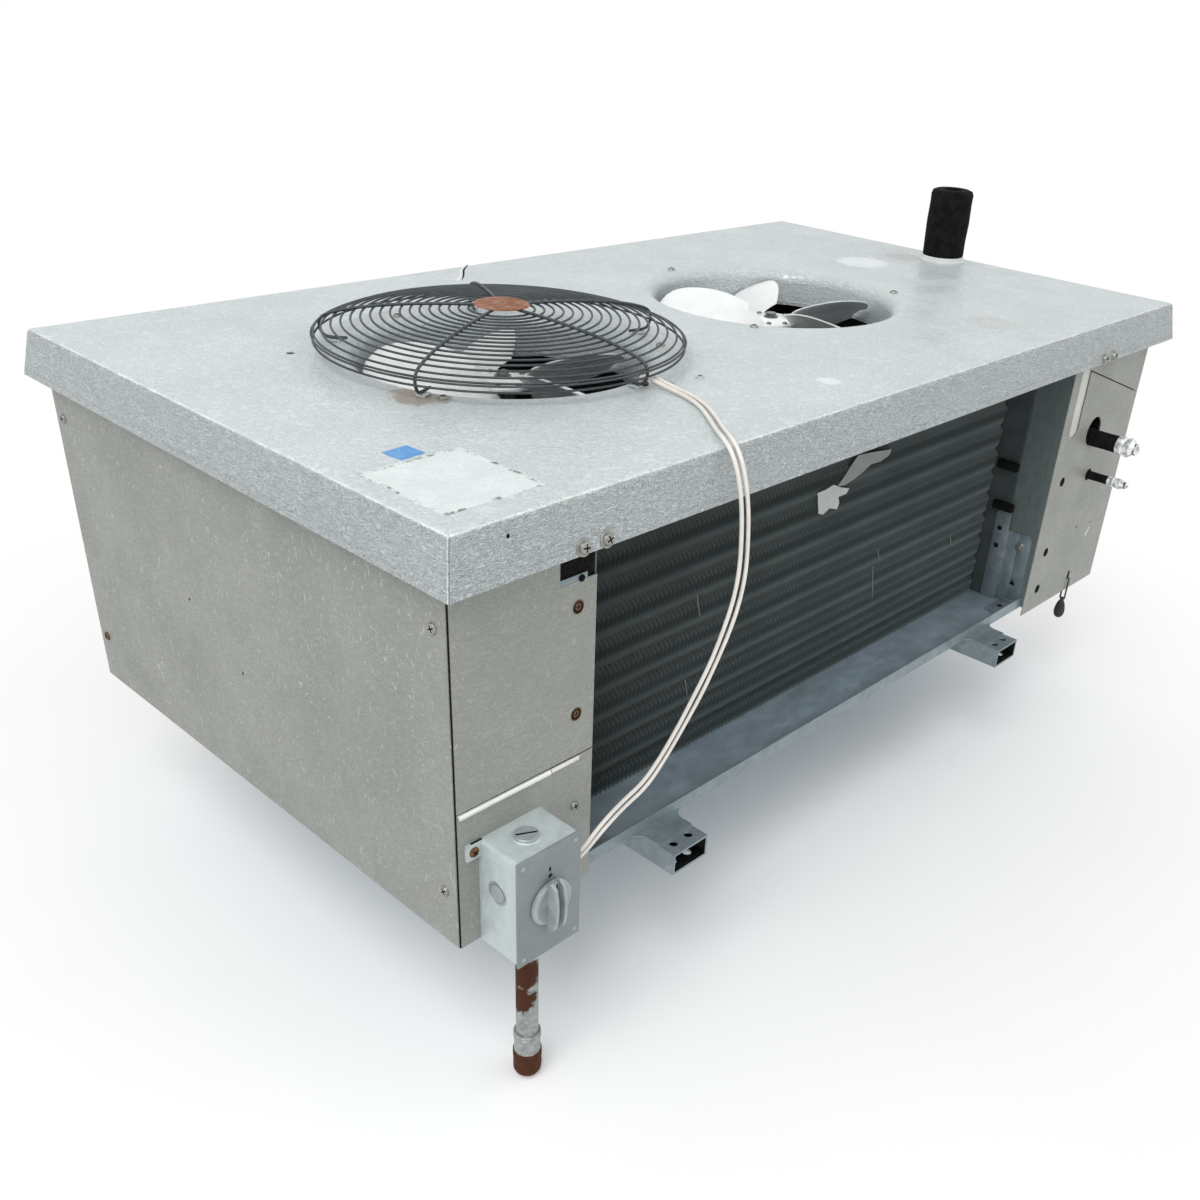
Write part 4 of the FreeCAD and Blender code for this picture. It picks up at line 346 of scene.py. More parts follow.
def galvanised_sheet(name, colour, painted_light_inboard=0.0, painted_hollow_shade=False):
    """Hot-dip galvanised sheet with streaks and bloom, painted light inboard and painted shade inside the
    rails.
    """
    finish = Finish(name, roughness=0.45, metallic=0.45)
    tone = finish.cloudy(colour, 0.10, 0.08, 0.35, 0.68, 0.018, 4, 0.65, None, 0.6)
    if painted_light_inboard:
        # Painted light: the plate is drawn paler inboard, where the lid shades it, in patches.
        inside = finish.spread(finish.off(finish.axis("Y")), 0.290, 0.326, 1.0, 0.0)
        light_patches = finish.noise(0.03, 5, 0.6, finish.stretch((0.5, 1, 1)), 1.2)
        light_patches = finish.spread(light_patches, 0.36, 0.64, 0.55, 1.0)
        inside = finish.times(inside, light_patches)
        tone = finish.layer(tone, inside, painted_light_inboard, shade(176, 198, 212))
    drawn = finish.stretch((0.16, 1, 1))
    tone = finish.spots(tone, 0.55, lighter(colour, 0.42), 0.54, 0.72, 0.035, 4, 0.6, drawn)
    tone = finish.spots(tone, 0.4, lighter(colour, 0.5), 0.60, 0.74, 0.007, 3, 0.7)
    if painted_hollow_shade:
        # Painted shade: the insides of the hollow rails are drawn nearly black.
        aside = finish.minus(finish.off(finish.axis("X")), RAIL_OUT)
        aside = finish.spread(finish.off(aside), 0.0226, 0.0228, 1.0, 0.0)
        within = finish.times(aside, finish.between(finish.axis("Z"), 0.0023, 0.0227, 0.0001))
        tone = finish.mix(within, tone, shade(26, 28, 28))
    finish.colour(tone)
    finish.patchy(0.03, 3, 0.34, 0.58)
    finish.grain(0.0003, 0.02, 3, strength=0.5)
    return finish.material


COIL_FOOT, TUBE_PITCH = 0.0275, 0.03175


def fins_with_dust_and_light_bands(name, colour):
    """Dull fin sheet: painted highlight on one slope of every ripple, painted shade in the folds between the
    tube rows, dusty front edges.
    """
    finish = Finish(name, roughness=0.5, metallic=0.3)
    rows = finish.sum("DIVIDE", finish.minus(finish.axis("Z"), COIL_FOOT), TUBE_PITCH)
    phase = finish.sum("FRACT", finish.sum("ADD", rows, 0.5), None)
    # Painted highlight along one slope of each ripple.
    slope = finish.between(phase, 0.10, 0.52, 0.10)
    # Painted shade in the folds between the tube rows.
    fold = finish.between(phase, 0.62, 0.96, 0.08)
    tone = finish.mix(slope, colour, lighter(colour, 0.13))
    tone = finish.layer(tone, fold, 0.8, lighter(colour, -0.60))
    edge = finish.spread(finish.off(finish.axis("Y")), 0.2445, 0.2480)
    tone = finish.layer(tone, edge, 0.22, lighter(colour, 0.4))
    cloud = finish.spread(finish.noise(0.09, 3, 0.5), 0.35, 0.65, 0.0, 0.25)
    finish.colour(finish.mix(cloud, tone, lighter(colour, -0.35)))
    finish.grain(0.0001, 0.004, 2, strength=0.5)
    return finish.material


def worn_metal(name, colour, roughness, metallic, wear=0.12, grain=0.01, brushed=(1, 1, 1)):
    """Plain metal with uneven tone, fine scratches and a little relief."""
    finish = Finish(name, roughness=roughness, metallic=metallic)
    body = finish.cloudy(colour, wear, wear, 0.34, 0.66, grain, 4, 0.6, finish.stretch(brushed))
    drawn = finish.stretch((0.2, 1, 1))
    finish.colour(finish.spots(body, wear, lighter(colour, 0.4), 0.64, 0.70, grain * 0.25, 2, 0.5, drawn))
    finish.patchy(grain * 2, 3, roughness - 0.08, roughness + 0.12)
    finish.grain(0.0001, grain * 0.3, 2, strength=0.6)
    return finish.material


def rusty_metal(name, colour, grain=0.004):
    """Pitted rust, darker and lighter in patches."""
    finish = Finish(name, roughness=0.9, specular=0.2)
    patch = finish.noise(grain * 3, 5, 0.65)
    tone = finish.mix(finish.spread(patch, 0.32, 0.52), lighter(colour, -0.40), colour)
    finish.colour(finish.mix(finish.spread(patch, 0.56, 0.78), tone, lighter(colour, 0.14)))
    finish.grain(0.0005, grain, 4, 0.7)
    return finish.material


def conduit_steel(name, colour, rust):
    """Zinc-coated conduit, rusty on its upper left side and in specks."""
    finish = Finish(name, roughness=0.45, metallic=0.55)
    tone = finish.cloudy(colour, 0.30, 0.10, 0.34, 0.66, 0.006, 4, 0.65)
    upper, lower = finish.near((-0.530, -0.352, -0.020), 0.048), finish.near((-0.531, -0.350, -0.052), 0.040)
    patch = finish.sum("MAXIMUM", upper, lower)
    eaten = finish.spread(finish.sum("ADD", patch, finish.noise(0.007, 5, 0.7)), 0.98, 1.18)
    specks = finish.blots(0.63, 0.70, 0.004, 4, 0.7)
    worn = finish.sum("MAXIMUM", eaten, finish.times(specks, 0.35))
    finish.colour(finish.mix(worn, tone, rust))
    finish.roughness(finish.spread(worn, 0.0, 1.0, 0.42, 0.85))
    finish.grain(0.0003, 0.003, 3, 0.6)
    return finish.material


def weathered_disc(name, colour):
    """The guard's hub disc: weathered brown in clouds and specks, with a small hole painted in dark as shade.
    """
    finish = Finish(name, roughness=0.75, specular=0.2)
    tone = finish.cloudy(colour, 0.22, 0.16, 0.36, 0.66, 0.012, 5, 0.65)
    tone = finish.spots(tone, 0.6, shade(92, 60, 48), 0.62, 0.70, 0.0022, 3, 0.7)
    # Painted shade: a dark spot stands for the hole in the disc's middle.
    finish.colour(finish.mix(finish.near((LEFT_FAN * MM, 0.0, 0.475), 0.0046), tone, shade(40, 30, 26)))
    finish.grain(0.0003, 0.004, 3, 0.6)
    return finish.material


def soft_foam(name, colour):
    """Closed-cell foam with fine pores."""
    finish = Finish(name, roughness=0.95, specular=0.12)
    body = finish.cloudy(colour, 0.15, 0.09, 0.34, 0.66, 0.012, 4, 0.6)
    finish.colour(finish.spots(body, 0.3, lighter(colour, 0.08), 0.63, 0.72, 0.005, 3, 0.6))
    finish.bump(finish.cells(0.0015), 0.0003, 0.7)
    return finish.material


def crumpled_foil(name):
    """Bright foil with sharp creases."""
    finish = Finish(name, roughness=0.4, metallic=0.3)
    tone = finish.blots(0.36, 0.64, 0.007, 3)
    finish.colour(finish.mix(tone, shade(176, 180, 180), shade(250, 251, 251)))
    finish.patchy(0.009, 2, 0.26, 0.48)
    finish.bump(finish.cells(0.008), 0.0012)
    return finish.material


def moulded_plastic(name, colour, roughness):
    """Plain moulded plastic with handling marks."""
    finish = Finish(name, roughness=roughness)
    body = finish.cloudy(colour, 0.07, 0.049, 0.34, 0.66, 0.02, 4)
    finish.colour(finish.spots(body, 0.35, lighter(colour, -0.30), 0.60, 0.72, 0.006, 4, 0.65))
    finish.patchy(0.01, 3, roughness - 0.08, roughness + 0.10)
    finish.grain(0.00008, 0.002, 2, strength=0.5)
    return finish.material


LABEL_BORDER = (("X", -0.5122, 0.0506), ("Y", -0.2573, 0.0540))


def faded_paper(name, colour, edge, border=()):
    """Bare paper, cloudy with age, with painted shade in its wrinkles, dirty in patches along a border of
    middles and half widths.
    """
    finish = Finish(name, roughness=0.6, specular=0.3)
    tone = finish.cloudy(colour, 0.06, 0.08, 0.36, 0.66, 0.022, 5, 0.62)
    wrinkle = finish.blots(0.42, 0.58, 0.0055, 2, 0.5, None, 1.6)
    # Painted shade: the wrinkles, which also carry relief, are drawn darker.
    tone = finish.layer(tone, wrinkle, 0.16, lighter(colour, -0.35))
    tone = finish.spots(tone, 0.25, edge, 0.60, 0.70, 0.008, 4, 0.7)
    if border:
        gaps = [finish.minus(finish.off(finish.minus(finish.axis(axis), middle)), half)
                for axis, middle, half in border]
        rand = finish.spread(finish.sum("MAXIMUM", *gaps), -0.0050, -0.0022)
        broken = finish.blots(0.50, 0.60, 0.014, 4, 0.7)
        tone = finish.layer(tone, rand, broken, lighter(edge, -0.35))
    finish.colour(tone)
    finish.patchy(0.012, 3, 0.45, 0.68)
    finish.bump(wrinkle, 0.0003, 0.6)
    return finish.material


def painted_recess_shade(name, colour):
    """Painted shade, cloudy in tone, for the dark inside of a screw's cross, a hole or a slot."""
    finish = Finish(name, roughness=0.95, specular=0.1)
    finish.colour(finish.cloudy(colour, 0.3, 0.08, 0.36, 0.64, 0.002, 3))
    finish.grain(0.0001, 0.001, 2)
    return finish.material


MATERIALS = {}
NODE_FINISHES = {
    "pan": "drain_pan",
    "end": "end_panel_left end_panel_right",
    "casing": "front_left_upper_panel front_left_lower_panel front_right_upper_panel "
              "front_right_lower_panel back_left_panel back_right_panel",
    "cheek": "recess_cheeks_front recess_cheeks_back",
    "tube_sheet": "tube_sheets_front tube_sheets_back",
    "plate": "mounting_plate",
    "rail": "hanger_rail_left hanger_rail_right",
    "zinc": "coil_brackets motor_mount_left motor_mount_right guard_clips",
    "fins": "coil_front_fins coil_back_fins",
    "copper": "coil_front_bends coil_back_bends suction_pipe liquid_pipe suction_header distributor",
    "blades": "fan_left fan_right",
    "hub": "fan_shaft_left fan_shaft_right",
    "motor": "fan_motor_left fan_motor_right",
    "guard": "fan_guard_left hasp_loop",
    "disc": "guard_hub_disc",
    "rust": "conduit_cap",
    "collar": "drain_pipe drain_fitting",
    "foam": "drain_sleeve",
    "black_foam": "suction_sleeve liquid_sleeve",
    "foil": "suction_foil liquid_foil",
    "cast": "switch_box switch_knob closure_plug",
    "cover": "switch_cover",
    "conduit": "conduit_connector conduit_stub",
    "screw": "rim_bolts panel_screws motor_screws",
    "black": "switch_body lead_grommet drop_plug",
    "leads": "fan_lead_a fan_lead_b",
}


def make_materials(colours):
    """Make every finish once and give the CAD nodes theirs."""
    casing, zinc, cast = tuple(colours.casing), tuple(colours.galvanised), tuple(colours.switch)
    rust = tuple(colours.rust)
    MATERIALS.update({
        "pan": pan_sheet("stucco_pan_aluminium", tuple(colours.pan)),
        "casing": casing_sheet("stucco_casing_sheet", casing, 0.00020, 0.48, 0.05, 0.36),
        "end": casing_sheet("stucco_end_sheet", lighter(casing, -0.02), 0.00026, 0.5, 0.07, 0.75),
        "cheek": worn_metal("grey_cheek_sheet", shade(106, 117, 116), 0.5, 0.3, 0.05, 0.006, (1, 1, 0.3)),
        "tube_sheet": worn_metal("dull_tube_sheet", shade(74, 82, 83), 0.5, 0.3, 0.05, 0.02),
        "zinc": galvanised_sheet("galvanised_sheet", zinc),
        "plate": galvanised_sheet("galvanised_plate", zinc, 0.7),
        "rail": galvanised_sheet("galvanised_rail", zinc, 0.0, True),
        "fins": fins_with_dust_and_light_bands("coil_fin_aluminium", tuple(colours.fins)),
        "copper": worn_metal("coil_tube_copper", shade(120, 92, 74), 0.4, 0.8),
        "blades": worn_metal("fan_blade_aluminium", tuple(colours.blades), 0.45, 0.1, 0.05, 0.03),
        "hub": worn_metal("hub_steel", shade(120, 124, 124), 0.35, 0.8),
        "motor": moulded_plastic("motor_black_paint", shade(34, 36, 37), 0.4),
        "guard": worn_metal("guard_wire_zinc", tuple(colours.guard), 0.5, 0.2, 0.10, 0.02),
        "clip": worn_metal("guard_clip_steel", shade(196, 204, 204), 0.4, 0.4, 0.08, 0.008),
        "rust": rusty_metal("rusted_steel", rust),
        "rusty_screw": rusty_metal("rusty_screw_steel", shade(112, 84, 62), 0.002),
        "disc": weathered_disc("weathered_disc", shade(141, 92, 64)),
        "foam": soft_foam("black_drain_foam", shade(13, 14, 15)),
        "collar": moulded_plastic("drain_collar_plastic", shade(214, 216, 212), 0.45),
        "black_foam": soft_foam("black_pipe_foam", shade(14, 15, 15)),
        "foil": crumpled_foil("pipe_end_foil"),
        "cast": worn_metal("cast_box_aluminium", cast, 0.52, 0.3, 0.07, 0.012),
        # Painted shade: the cover is the cast aluminium drawn darker, as it faces the front.
        "cover": worn_metal("switch_cover_painted_shade", lighter(cast, -0.58), 0.5, 0.2, 0.05, 0.02),
        "knob": worn_metal("knob_aluminium", lighter(cast, -0.34), 0.42, 0.3, 0.10, 0.01),
        "conduit": conduit_steel("conduit_zinc", shade(158, 164, 161), rust),
        "screw": worn_metal("screw_zinc", shade(150, 152, 144), 0.35, 0.7, 0.16, 0.004),
        "bright_edge": worn_metal("bright_sheet_edge", shade(228, 230, 226), 0.35, 0.4, 0.06, 0.008),
        "pale_inside": worn_metal("pale_inside_sheet", shade(206, 208, 200), 0.5, 0.2, 0.06, 0.02),
        "black": moulded_plastic("black_plastic", shade(24, 24, 25), 0.5),
        "leads": moulded_plastic("lead_insulation", tuple(colours.leads), 0.45),
        "label": faded_paper("bare_label_face", shade(214, 221, 221), shade(150, 154, 148), LABEL_BORDER),
        "torn": faded_paper("torn_paper_smear", shade(132, 138, 136), shade(88, 96, 94)),
        "scrap": faded_paper("torn_paper_scrap", shade(186, 190, 187), shade(120, 126, 124)),
        "sticker": faded_paper("blue_sticker_face", shade(78, 144, 204), shade(150, 184, 212)),
        # Painted shade: the recess finish darkens holes, slots, crosses, gaps and some sunk screw heads.
        "recess": painted_recess_shade("painted_recess_shade", shade(18, 18, 17)),
    })
    for finish, nodes in NODE_FINISHES.items():
        for node in nodes.split():
            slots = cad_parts[node].data.materials
            slots.clear()
            slots.append(MATERIALS[finish])


# Meshes

class Shape:
    """A mesh in the making, in millimetres. Its finishes are numbered as its piece lists them."""

    def __init__(self):
        self.bm = bmesh.new()
        self.ready = self.bm.faces.layers.int.new("ready")

    def done(self, finish=0, turn=None):
        """Give the faces made since the last call their finish, and move them by a matrix."""
        made = [face for face in self.bm.faces if not face[self.ready]]
        for face in made:
            face.material_index = finish
            face[self.ready] = 1
        verts = list({vert for face in made for vert in face.verts})
        if turn is not None:
            bmesh.ops.transform(self.bm, matrix=turn, verts=verts)
        return verts

    def round_off(self, edges, width):
        """Round edges off by a width."""
        bmesh.ops.bevel(self.bm, geom=list(edges), offset=width, segments=2, profile=0.5, affect="EDGES",
                        material=-1)

    def spin(self, geometry, steps):
        """Turn edges once round the local Z axis."""
        bmesh.ops.spin(self.bm, geom=geometry, cent=(0, 0, 0), axis=(0, 0, 1), angle=math.tau, steps=steps,
                       use_merge=True)

    def box(self, low, high, soften=0.0, finish=0, turn=None):
        """A box between two corners, its edges rounded if asked."""
        low, high = Vector(low), Vector(high)
        matrix = Matrix.Translation((low + high) / 2) @ Matrix.Diagonal((*(high - low), 1))
        made = bmesh.ops.create_cube(self.bm, size=1, matrix=matrix)
        if soften:
            self.round_off({edge for vert in made["verts"] for edge in vert.link_edges}, soften)
        return self.done(finish, turn)

    def disc(self, radius, low, high, steps, finish, turn):
        """A low turned disc between two heights, open below."""
        return self.lathe([(0, high), (radius, high), (radius, low)], steps, finish, turn)

    def lathe(self, profile, steps=32, finish=0, turn=None):
        """A turned solid from radius and height pairs, about the local Z axis."""
        verts = [self.bm.verts.new((radius, 0, height)) for radius, height in profile]
        edges = [self.bm.edges.new(pair) for pair in zip(verts, verts[1:])]
        self.spin(verts + edges, steps)
        return self.done(finish, turn)

    def rod(self, start, end, radius, soften=0.4, steps=24, finish=0):
        """A round bar between two points, its ends rounded."""
        length = (Vector(end) - Vector(start)).length
        profile = [(0, 0), (radius - soften, 0), (radius, soften), (radius, length - soften),
                   (radius - soften, length), (0, length)]
        return self.lathe(profile, steps, finish, aimed(start, Vector(end) - Vector(start)))

    def ring(self, radius, wire, height, turn):
        """A wire ring about the local Z axis."""
        matrix = at(radius, 0, height) @ Matrix.Rotation(math.pi / 2, 4, "X")
        made = bmesh.ops.create_circle(self.bm, segments=8, radius=wire, matrix=matrix)
        edges = list({edge for vert in made["verts"] for edge in vert.link_edges})
        self.spin(made["verts"] + edges, 84)
        self.done(0, turn)

    def slab(self, outline, thickness, soften=0.0, finish=0, turn=None):
        """A flat outline in the local XY plane, thickened along local Z."""
        face = self.bm.faces.new([self.bm.verts.new((x, y, 0)) for x, y in outline])
        made = bmesh.ops.extrude_face_region(self.bm, geom=[face])["geom"]
        moved = [item for item in made if isinstance(item, bmesh.types.BMVert)]
        bmesh.ops.translate(self.bm, vec=(0, 0, thickness), verts=moved)
        if soften:
            around = {edge for vert in moved for edge in vert.link_edges if edge.other_vert(vert) in moved}
            self.round_off(around, soften)
        return self.done(finish, turn)

    def piece(self, name, finishes, slot="", replaces="", body="casing", angle=35, flat=False):
        """Bring the shape into the scene as a piece of its own."""
        piece(name, self.mesh(name, angle, flat), finishes, replaces, body)

    def mesh(self, name, angle, flat):
        """The finished mesh in metres, smooth but for its sharp corners."""
        bm = self.bm
        bm.faces.layers.int.remove(self.ready)
        bmesh.ops.remove_doubles(bm, verts=bm.verts, dist=1e-3)
        bmesh.ops.recalc_face_normals(bm, faces=bm.faces)
        bmesh.ops.scale(bm, vec=(MM, MM, MM), verts=bm.verts)
        mesh = bpy.data.meshes.new(name)
        bm.to_mesh(mesh)
        bm.free()
        if not flat:
            mesh.shade_smooth()
            mesh.set_sharp_from_angle(angle=math.radians(angle))
        return mesh


def at(x, y, z):
    """A matrix that moves things to a spot."""
    return Matrix.Translation((x, y, z))


def turned(degrees):
    """A matrix that turns things about Z."""
    return Matrix.Rotation(math.radians(degrees), 4, "Z")


def aimed(spot, axis):
    """A matrix that stands local Z along an axis at a spot."""
    return Matrix.Translation(spot) @ Vector(axis).to_track_quat("Z", "Y").to_matrix().to_4x4()


def facing_front(x, y, z):
    """A matrix for details on a front panel: local X right, local Y up and local Z out of the panel."""
    return Matrix(((1, 0, 0, x), (0, 0, -1, y), (0, 1, 0, z), (0, 0, 0, 1)))


def facing_along(x, y, z):
    """A matrix for flat parts that stand on edge: local X along Y, local Y up and local Z along X."""
    return Matrix(((0, 0, 1, x), (1, 0, 0, y), (0, 1, 0, z), (0, 0, 0, 1)))


def facing_left(x, y, z):
    """A matrix for details on the left end: local X to the front, local Y up and local Z out of the end."""
    return Matrix(((0, 0, -1, x), (-1, 0, 0, y), (0, 1, 0, z), (0, 0, 0, 1)))


def piece(name, mesh, finishes, replaces="", body="casing"):
    """Bring one finished mesh or curve into the scene on its body."""
    thing = bpy.data.objects.new(name, mesh)
    bpy.context.scene.collection.objects.link(thing)
    for one in finishes.split():
        mesh.materials.append(MATERIALS[one])
    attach(thing, body)
    if replaces:
        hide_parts(*replaces.split())
    return thing


def wire_curve(name, width, resolution):
    """An empty curve that draws round wire."""
    curve = bpy.data.curves.new(name, "CURVE")
    curve.dimensions = "3D"
    curve.bevel_depth = width / 2
    curve.bevel_resolution = 3
    curve.resolution_u = resolution
    curve.use_fill_caps = True
    return curve


def add_route(curve, points):
    """Add one smooth run of wire through control points."""
    spline = curve.splines.new("NURBS")
    spline.points.add(len(points) - 1)
    for target, point in zip(spline.points, points):
        target.co = (*point, 1)
    spline.order_u = 3
    spline.use_endpoint_u = True


# Where the casing's parts lie, in millimetres
PAN_LEFT = -582.5
PAN_FRONT = -341.0
LID = 424.0
RIM_FLARE = 9.4
RIM_HEIGHT = 48.0
FACE = -327.1
LEFT_END = -576.8
RIGHT_END = 651.8
LEFT_FAN = -242.5
RIGHT_FAN = 209.5
DRAIN = 614.5
MOTOR_SCREW_CIRCLE = 174
UP = (0, 0, 1)


# Drain pan

def polar(radius, turn):
    """The x and y of a point at a radius and a turn."""
    return radius * math.cos(turn), radius * math.sin(turn)


def polygon(radius, sides, first):
    """The corners of a regular polygon, the first of them at a turn."""
    return [polar(radius, first + math.tau * side / sides) for side in range(sides)]


def pan_head(shape, spot, axis, radius, height, turn, washer=0.0, finish=0, dark=1):
    """A domed screw head with a cross recess, on a washer if asked."""
    matrix = aimed(spot, axis) @ turned(turn)
    if washer:
        shape.lathe([(0, 0), (washer, 0), (washer, 0.7), (washer - 0.5, 1.2), (0, 1.2)], 28, finish, matrix)
        matrix = matrix @ at(0, 0, 1.2)
    shape.lathe([(0, 0), (radius, 0), (radius, height * 0.35), (radius * 0.86, height * 0.78),
                 (radius * 0.5, height), (0, height)], 24, finish, matrix)
    # Painted shade: the cross is drawn as boxes in the dark finish.
    arm, slot = radius * 0.62, radius * 0.13
    for low, high in (((-arm, -slot), (arm, slot)), ((-slot, -arm), (slot, arm))):
        shape.box((*low, height * 0.55), (*high, height + 0.04), 0, dark, matrix)


def rim_axis(sign):
    """The way out of the pan's flared rim at the front or the back."""
    slope = math.atan2(RIM_FLARE, RIM_HEIGHT)
    return Vector((0, sign * math.cos(slope), math.sin(slope)))


def rim_spot(x, drop, sign):
    """A place on the pan's flared rim, a drop below the lid."""
    return Vector((x, sign * (-PAN_FRONT + RIM_FLARE * drop / RIM_HEIGHT), LID - drop))


class COOLER_OT_pan(Operator):
    """Dress the drain pan: screws, a rivet, the split, the bare label plate and the sticker."""
    bl_idname = "cooler.pan"
    bl_label = "Drain Pan"

    def execute(self, context):
        bolts = Shape()
        for sign in (-1, 1):
            for x in (-457.5, -431.5, 455.5, 481.5):
                pan_head(bolts, rim_spot(x, 42.0, sign), rim_axis(sign), 5.4, 3.4, x, 7.5)
        bolts.piece("rim_bolt_heads", "screw recess", "screw_steel", "rim_bolts")

        screws = Shape()
        for centre in (LEFT_FAN, RIGHT_FAN):
            for leg in range(3):
                across, deep = polar(MOTOR_SCREW_CIRCLE, math.radians(91.5 + 120 * leg))
                pan_head(screws, (centre + across, deep, LID), UP, 5.2, 2.6, 30 * leg)
        screws.piece("motor_screw_heads", "screw recess", "screw_steel", "motor_screws")

        extra = Shape()
        pan_head(extra, (-145.5, -190.5, LID), UP, 4.6, 2.4, 10)
        extra.lathe([(0, -0.2), (5.5, -0.2), (5.5, 0.5), (4.2, 0.9), (2.6, 0.35), (0, 0.2)], 24, 0,
                    at(-379.5, -264.0, LID))
        extra.piece("lid_screw_and_rivet", "pan recess", "screw_steel")

        label = Shape()
        outline = ragged_rectangle(-562.7, -311.3, -461.6, -203.3, 3.0, 3.2)
        label.slab(outline, 0.3, 0, 0, at(0, 0, LID - 0.1))
        label.piece("bare_label_plate", "label")

        crack = Shape()
        # Painted shade: the split's gap is a dark sheet, with a bright edge beside it.
        crack.slab([(-78.0, 272.0), (-58.0, 291.0), (-34.0, 320.0), (-12.0, 340.0), (-13.2, 340.6),
                    (-36.0, 321.4), (-59.6, 292.4)], 0.25, 0, 0, at(0, 0, LID - 0.1))
        crack.slab([(-84.0, 276.0), (-60.5, 297.0), (-39.0, 323.0), (-18.0, 340.4), (-14.5, 340.4),
                    (-36.8, 321.8), (-60.0, 293.6), (-79.0, 274.5)], 0.45, 0, 1, at(0, 0, LID - 0.1))
        crack.piece("lid_split", "recess bright_edge")

        sticker = Shape()
        sticker.slab(ragged_rectangle(-13, -12, 13, 12, 4.0, 0.5), 0.45, 0, 0,
                     at(-506.0, -186.5, LID - 0.1) @ turned(4))
        sticker.piece("blue_sticker", "sticker")
        return {"FINISHED"}


def ragged_rectangle(left, front, right, back, step, swing):
    """The outline of a rectangle whose edge wanders a little, as torn or weathered paper does."""
    corners = [(left, front), (right, front), (right, back), (left, back)]
    outline = []
    for (x0, y0), (x1, y1) in zip(corners, corners[1:] + corners[:1]):
        count = max(2, round(math.hypot(x1 - x0, y1 - y0) / step))
        for index in range(count):
            share = index / count
            x, y = x0 + (x1 - x0) * share, y0 + (y1 - y0) * share
            drift = noise.noise(Vector((x * 0.11, y * 0.11, 3.0))) * swing
            outline.append((x + drift, y + drift * 0.8))
    return outline


# Wire guard

GUARD_RADIUS = 191.5
FIRST_RING, LAST_RING = 34, 191
RIB_TURNS = [61 + 72 * index for index in range(5)]


def dome(radius):
    """The height of the guard's dome over a radius."""
    return LID + 18 + 28 * math.sqrt(max(0.0, 1 - (radius / GUARD_RADIUS) ** 2))


class COOLER_OT_guard(Operator):
    """Make the domed wire guard of the left fan, with its hub disc and clips."""
    bl_idname = "cooler.guard"
    bl_label = "Wire Guard"

    def execute(self, context):
        sizes = context.scene.cooler_sizes
        wire = sizes.guard_wire / MM / 2
        rings = Shape()
        centre = at(LEFT_FAN, 0, 0)
        for index in range(sizes.guard_rings):
            radius = FIRST_RING + (LAST_RING - FIRST_RING) * index / (sizes.guard_rings - 1)
            rings.ring(radius - 0.2, wire, dome(radius) - (0.6 if radius > 190 else 2.6), centre)
        rings.ring(188.6, wire, LID + 21.4, centre)
        rings.ring(189.6, wire, LID + 13.4, centre)
        rings.piece("guard_rings", "guard", "guard_wire", "fan_guard_left", angle=60)

        ribs = wire_curve("guard_ribs", sizes.guard_rib, 8)
        for turn in map(math.radians, RIB_TURNS):
            spots = [(radius, dome(radius)) for radius in (12, 40, 70, 100, 130, 156, 174, 184)]
            spots += [(188.6, LID + 20), (188.4, LID + 13), (185.0, LID + 6), (179.0, LID + 4.0),
                      (170.0, LID + 4.0), (160.5, LID + 4.0)]
            across, deep = polar(1, turn)
            add_route(ribs, [Vector((LEFT_FAN + radius * across, radius * deep, height)) * MM
                             for radius, height in spots])
        piece("guard_ribs", ribs, "guard")

        disc = Shape()
        disc.lathe([(0, 1.3), (2.4, 1.3), (3.0, 1.7), (12, 1.6), (20, 1.4), (25, 1.1), (28.2, 0.5),
                    (29, -0.3), (28.4, -0.8), (0, 0.0)], 48, 0, at(LEFT_FAN, 0, 471.8))
        disc.piece("weathered_hub_disc", "disc", "rusty_steel", "guard_hub_disc")

        clips = Shape()
        for turn in RIB_TURNS:
            matrix = centre @ turned(turn)
            clips.box((167.2, -4.8, LID - 0.05), (180.8, 4.8, LID + 2.0), 0.6, 0, matrix)
            clips.box((170.5, -6.6, LID + 1.6), (177.5, 6.6, LID + 2.6), 0.4, 0, matrix)
        clips.piece("guard_clip_plates", "clip", "galvanised_steel", "guard_clips")
        return {"FINISHED"}


# Fans

BLADES = 5
BLADE_ROOT, BLADE_REACH, BLADE_HEIGHT = 30, 116, -32
ROOT_CHORD, CHORD_GROWTH = 44, 44
ROOT_PITCH, TWIST = 46, 14


def blade(shape, place):
    """One pressed blade: a twisted, cambered leaf with a rounded tip and a stiffening crease."""
    made = bmesh.ops.create_grid(shape.bm, x_segments=14, y_segments=16, size=0.5)
    for vert in made["verts"]:
        across, out = vert.co.x, vert.co.y + 0.5
        chord = ROOT_CHORD + CHORD_GROWTH * math.sin(math.pi / 2 * min(1.0, out / 0.62)) ** 0.9
        corner = max(0.0, (out - 0.64) / 0.36)
        chord *= math.sqrt(1 - 0.84 * corner ** 2.6)
        pitch = math.radians(ROOT_PITCH - TWIST * out)
        bow = 0.09 * chord * (1 - 4 * across ** 2) - 0.8
        bow += 1.1 * math.exp(-((across * chord + 8) / 5) ** 2) * math.sin(math.pi * out)
        along = across * chord
        vert.co = (BLADE_ROOT + BLADE_REACH * out, bow * math.sin(pitch) - along * math.cos(pitch),
                   along * math.sin(pitch) + bow * math.cos(pitch) + BLADE_HEIGHT)
    faces = list({face for vert in made["verts"] for face in vert.link_faces})
    bmesh.ops.solidify(shape.bm, geom=faces, thickness=1.6)
    shape.done(0, place)


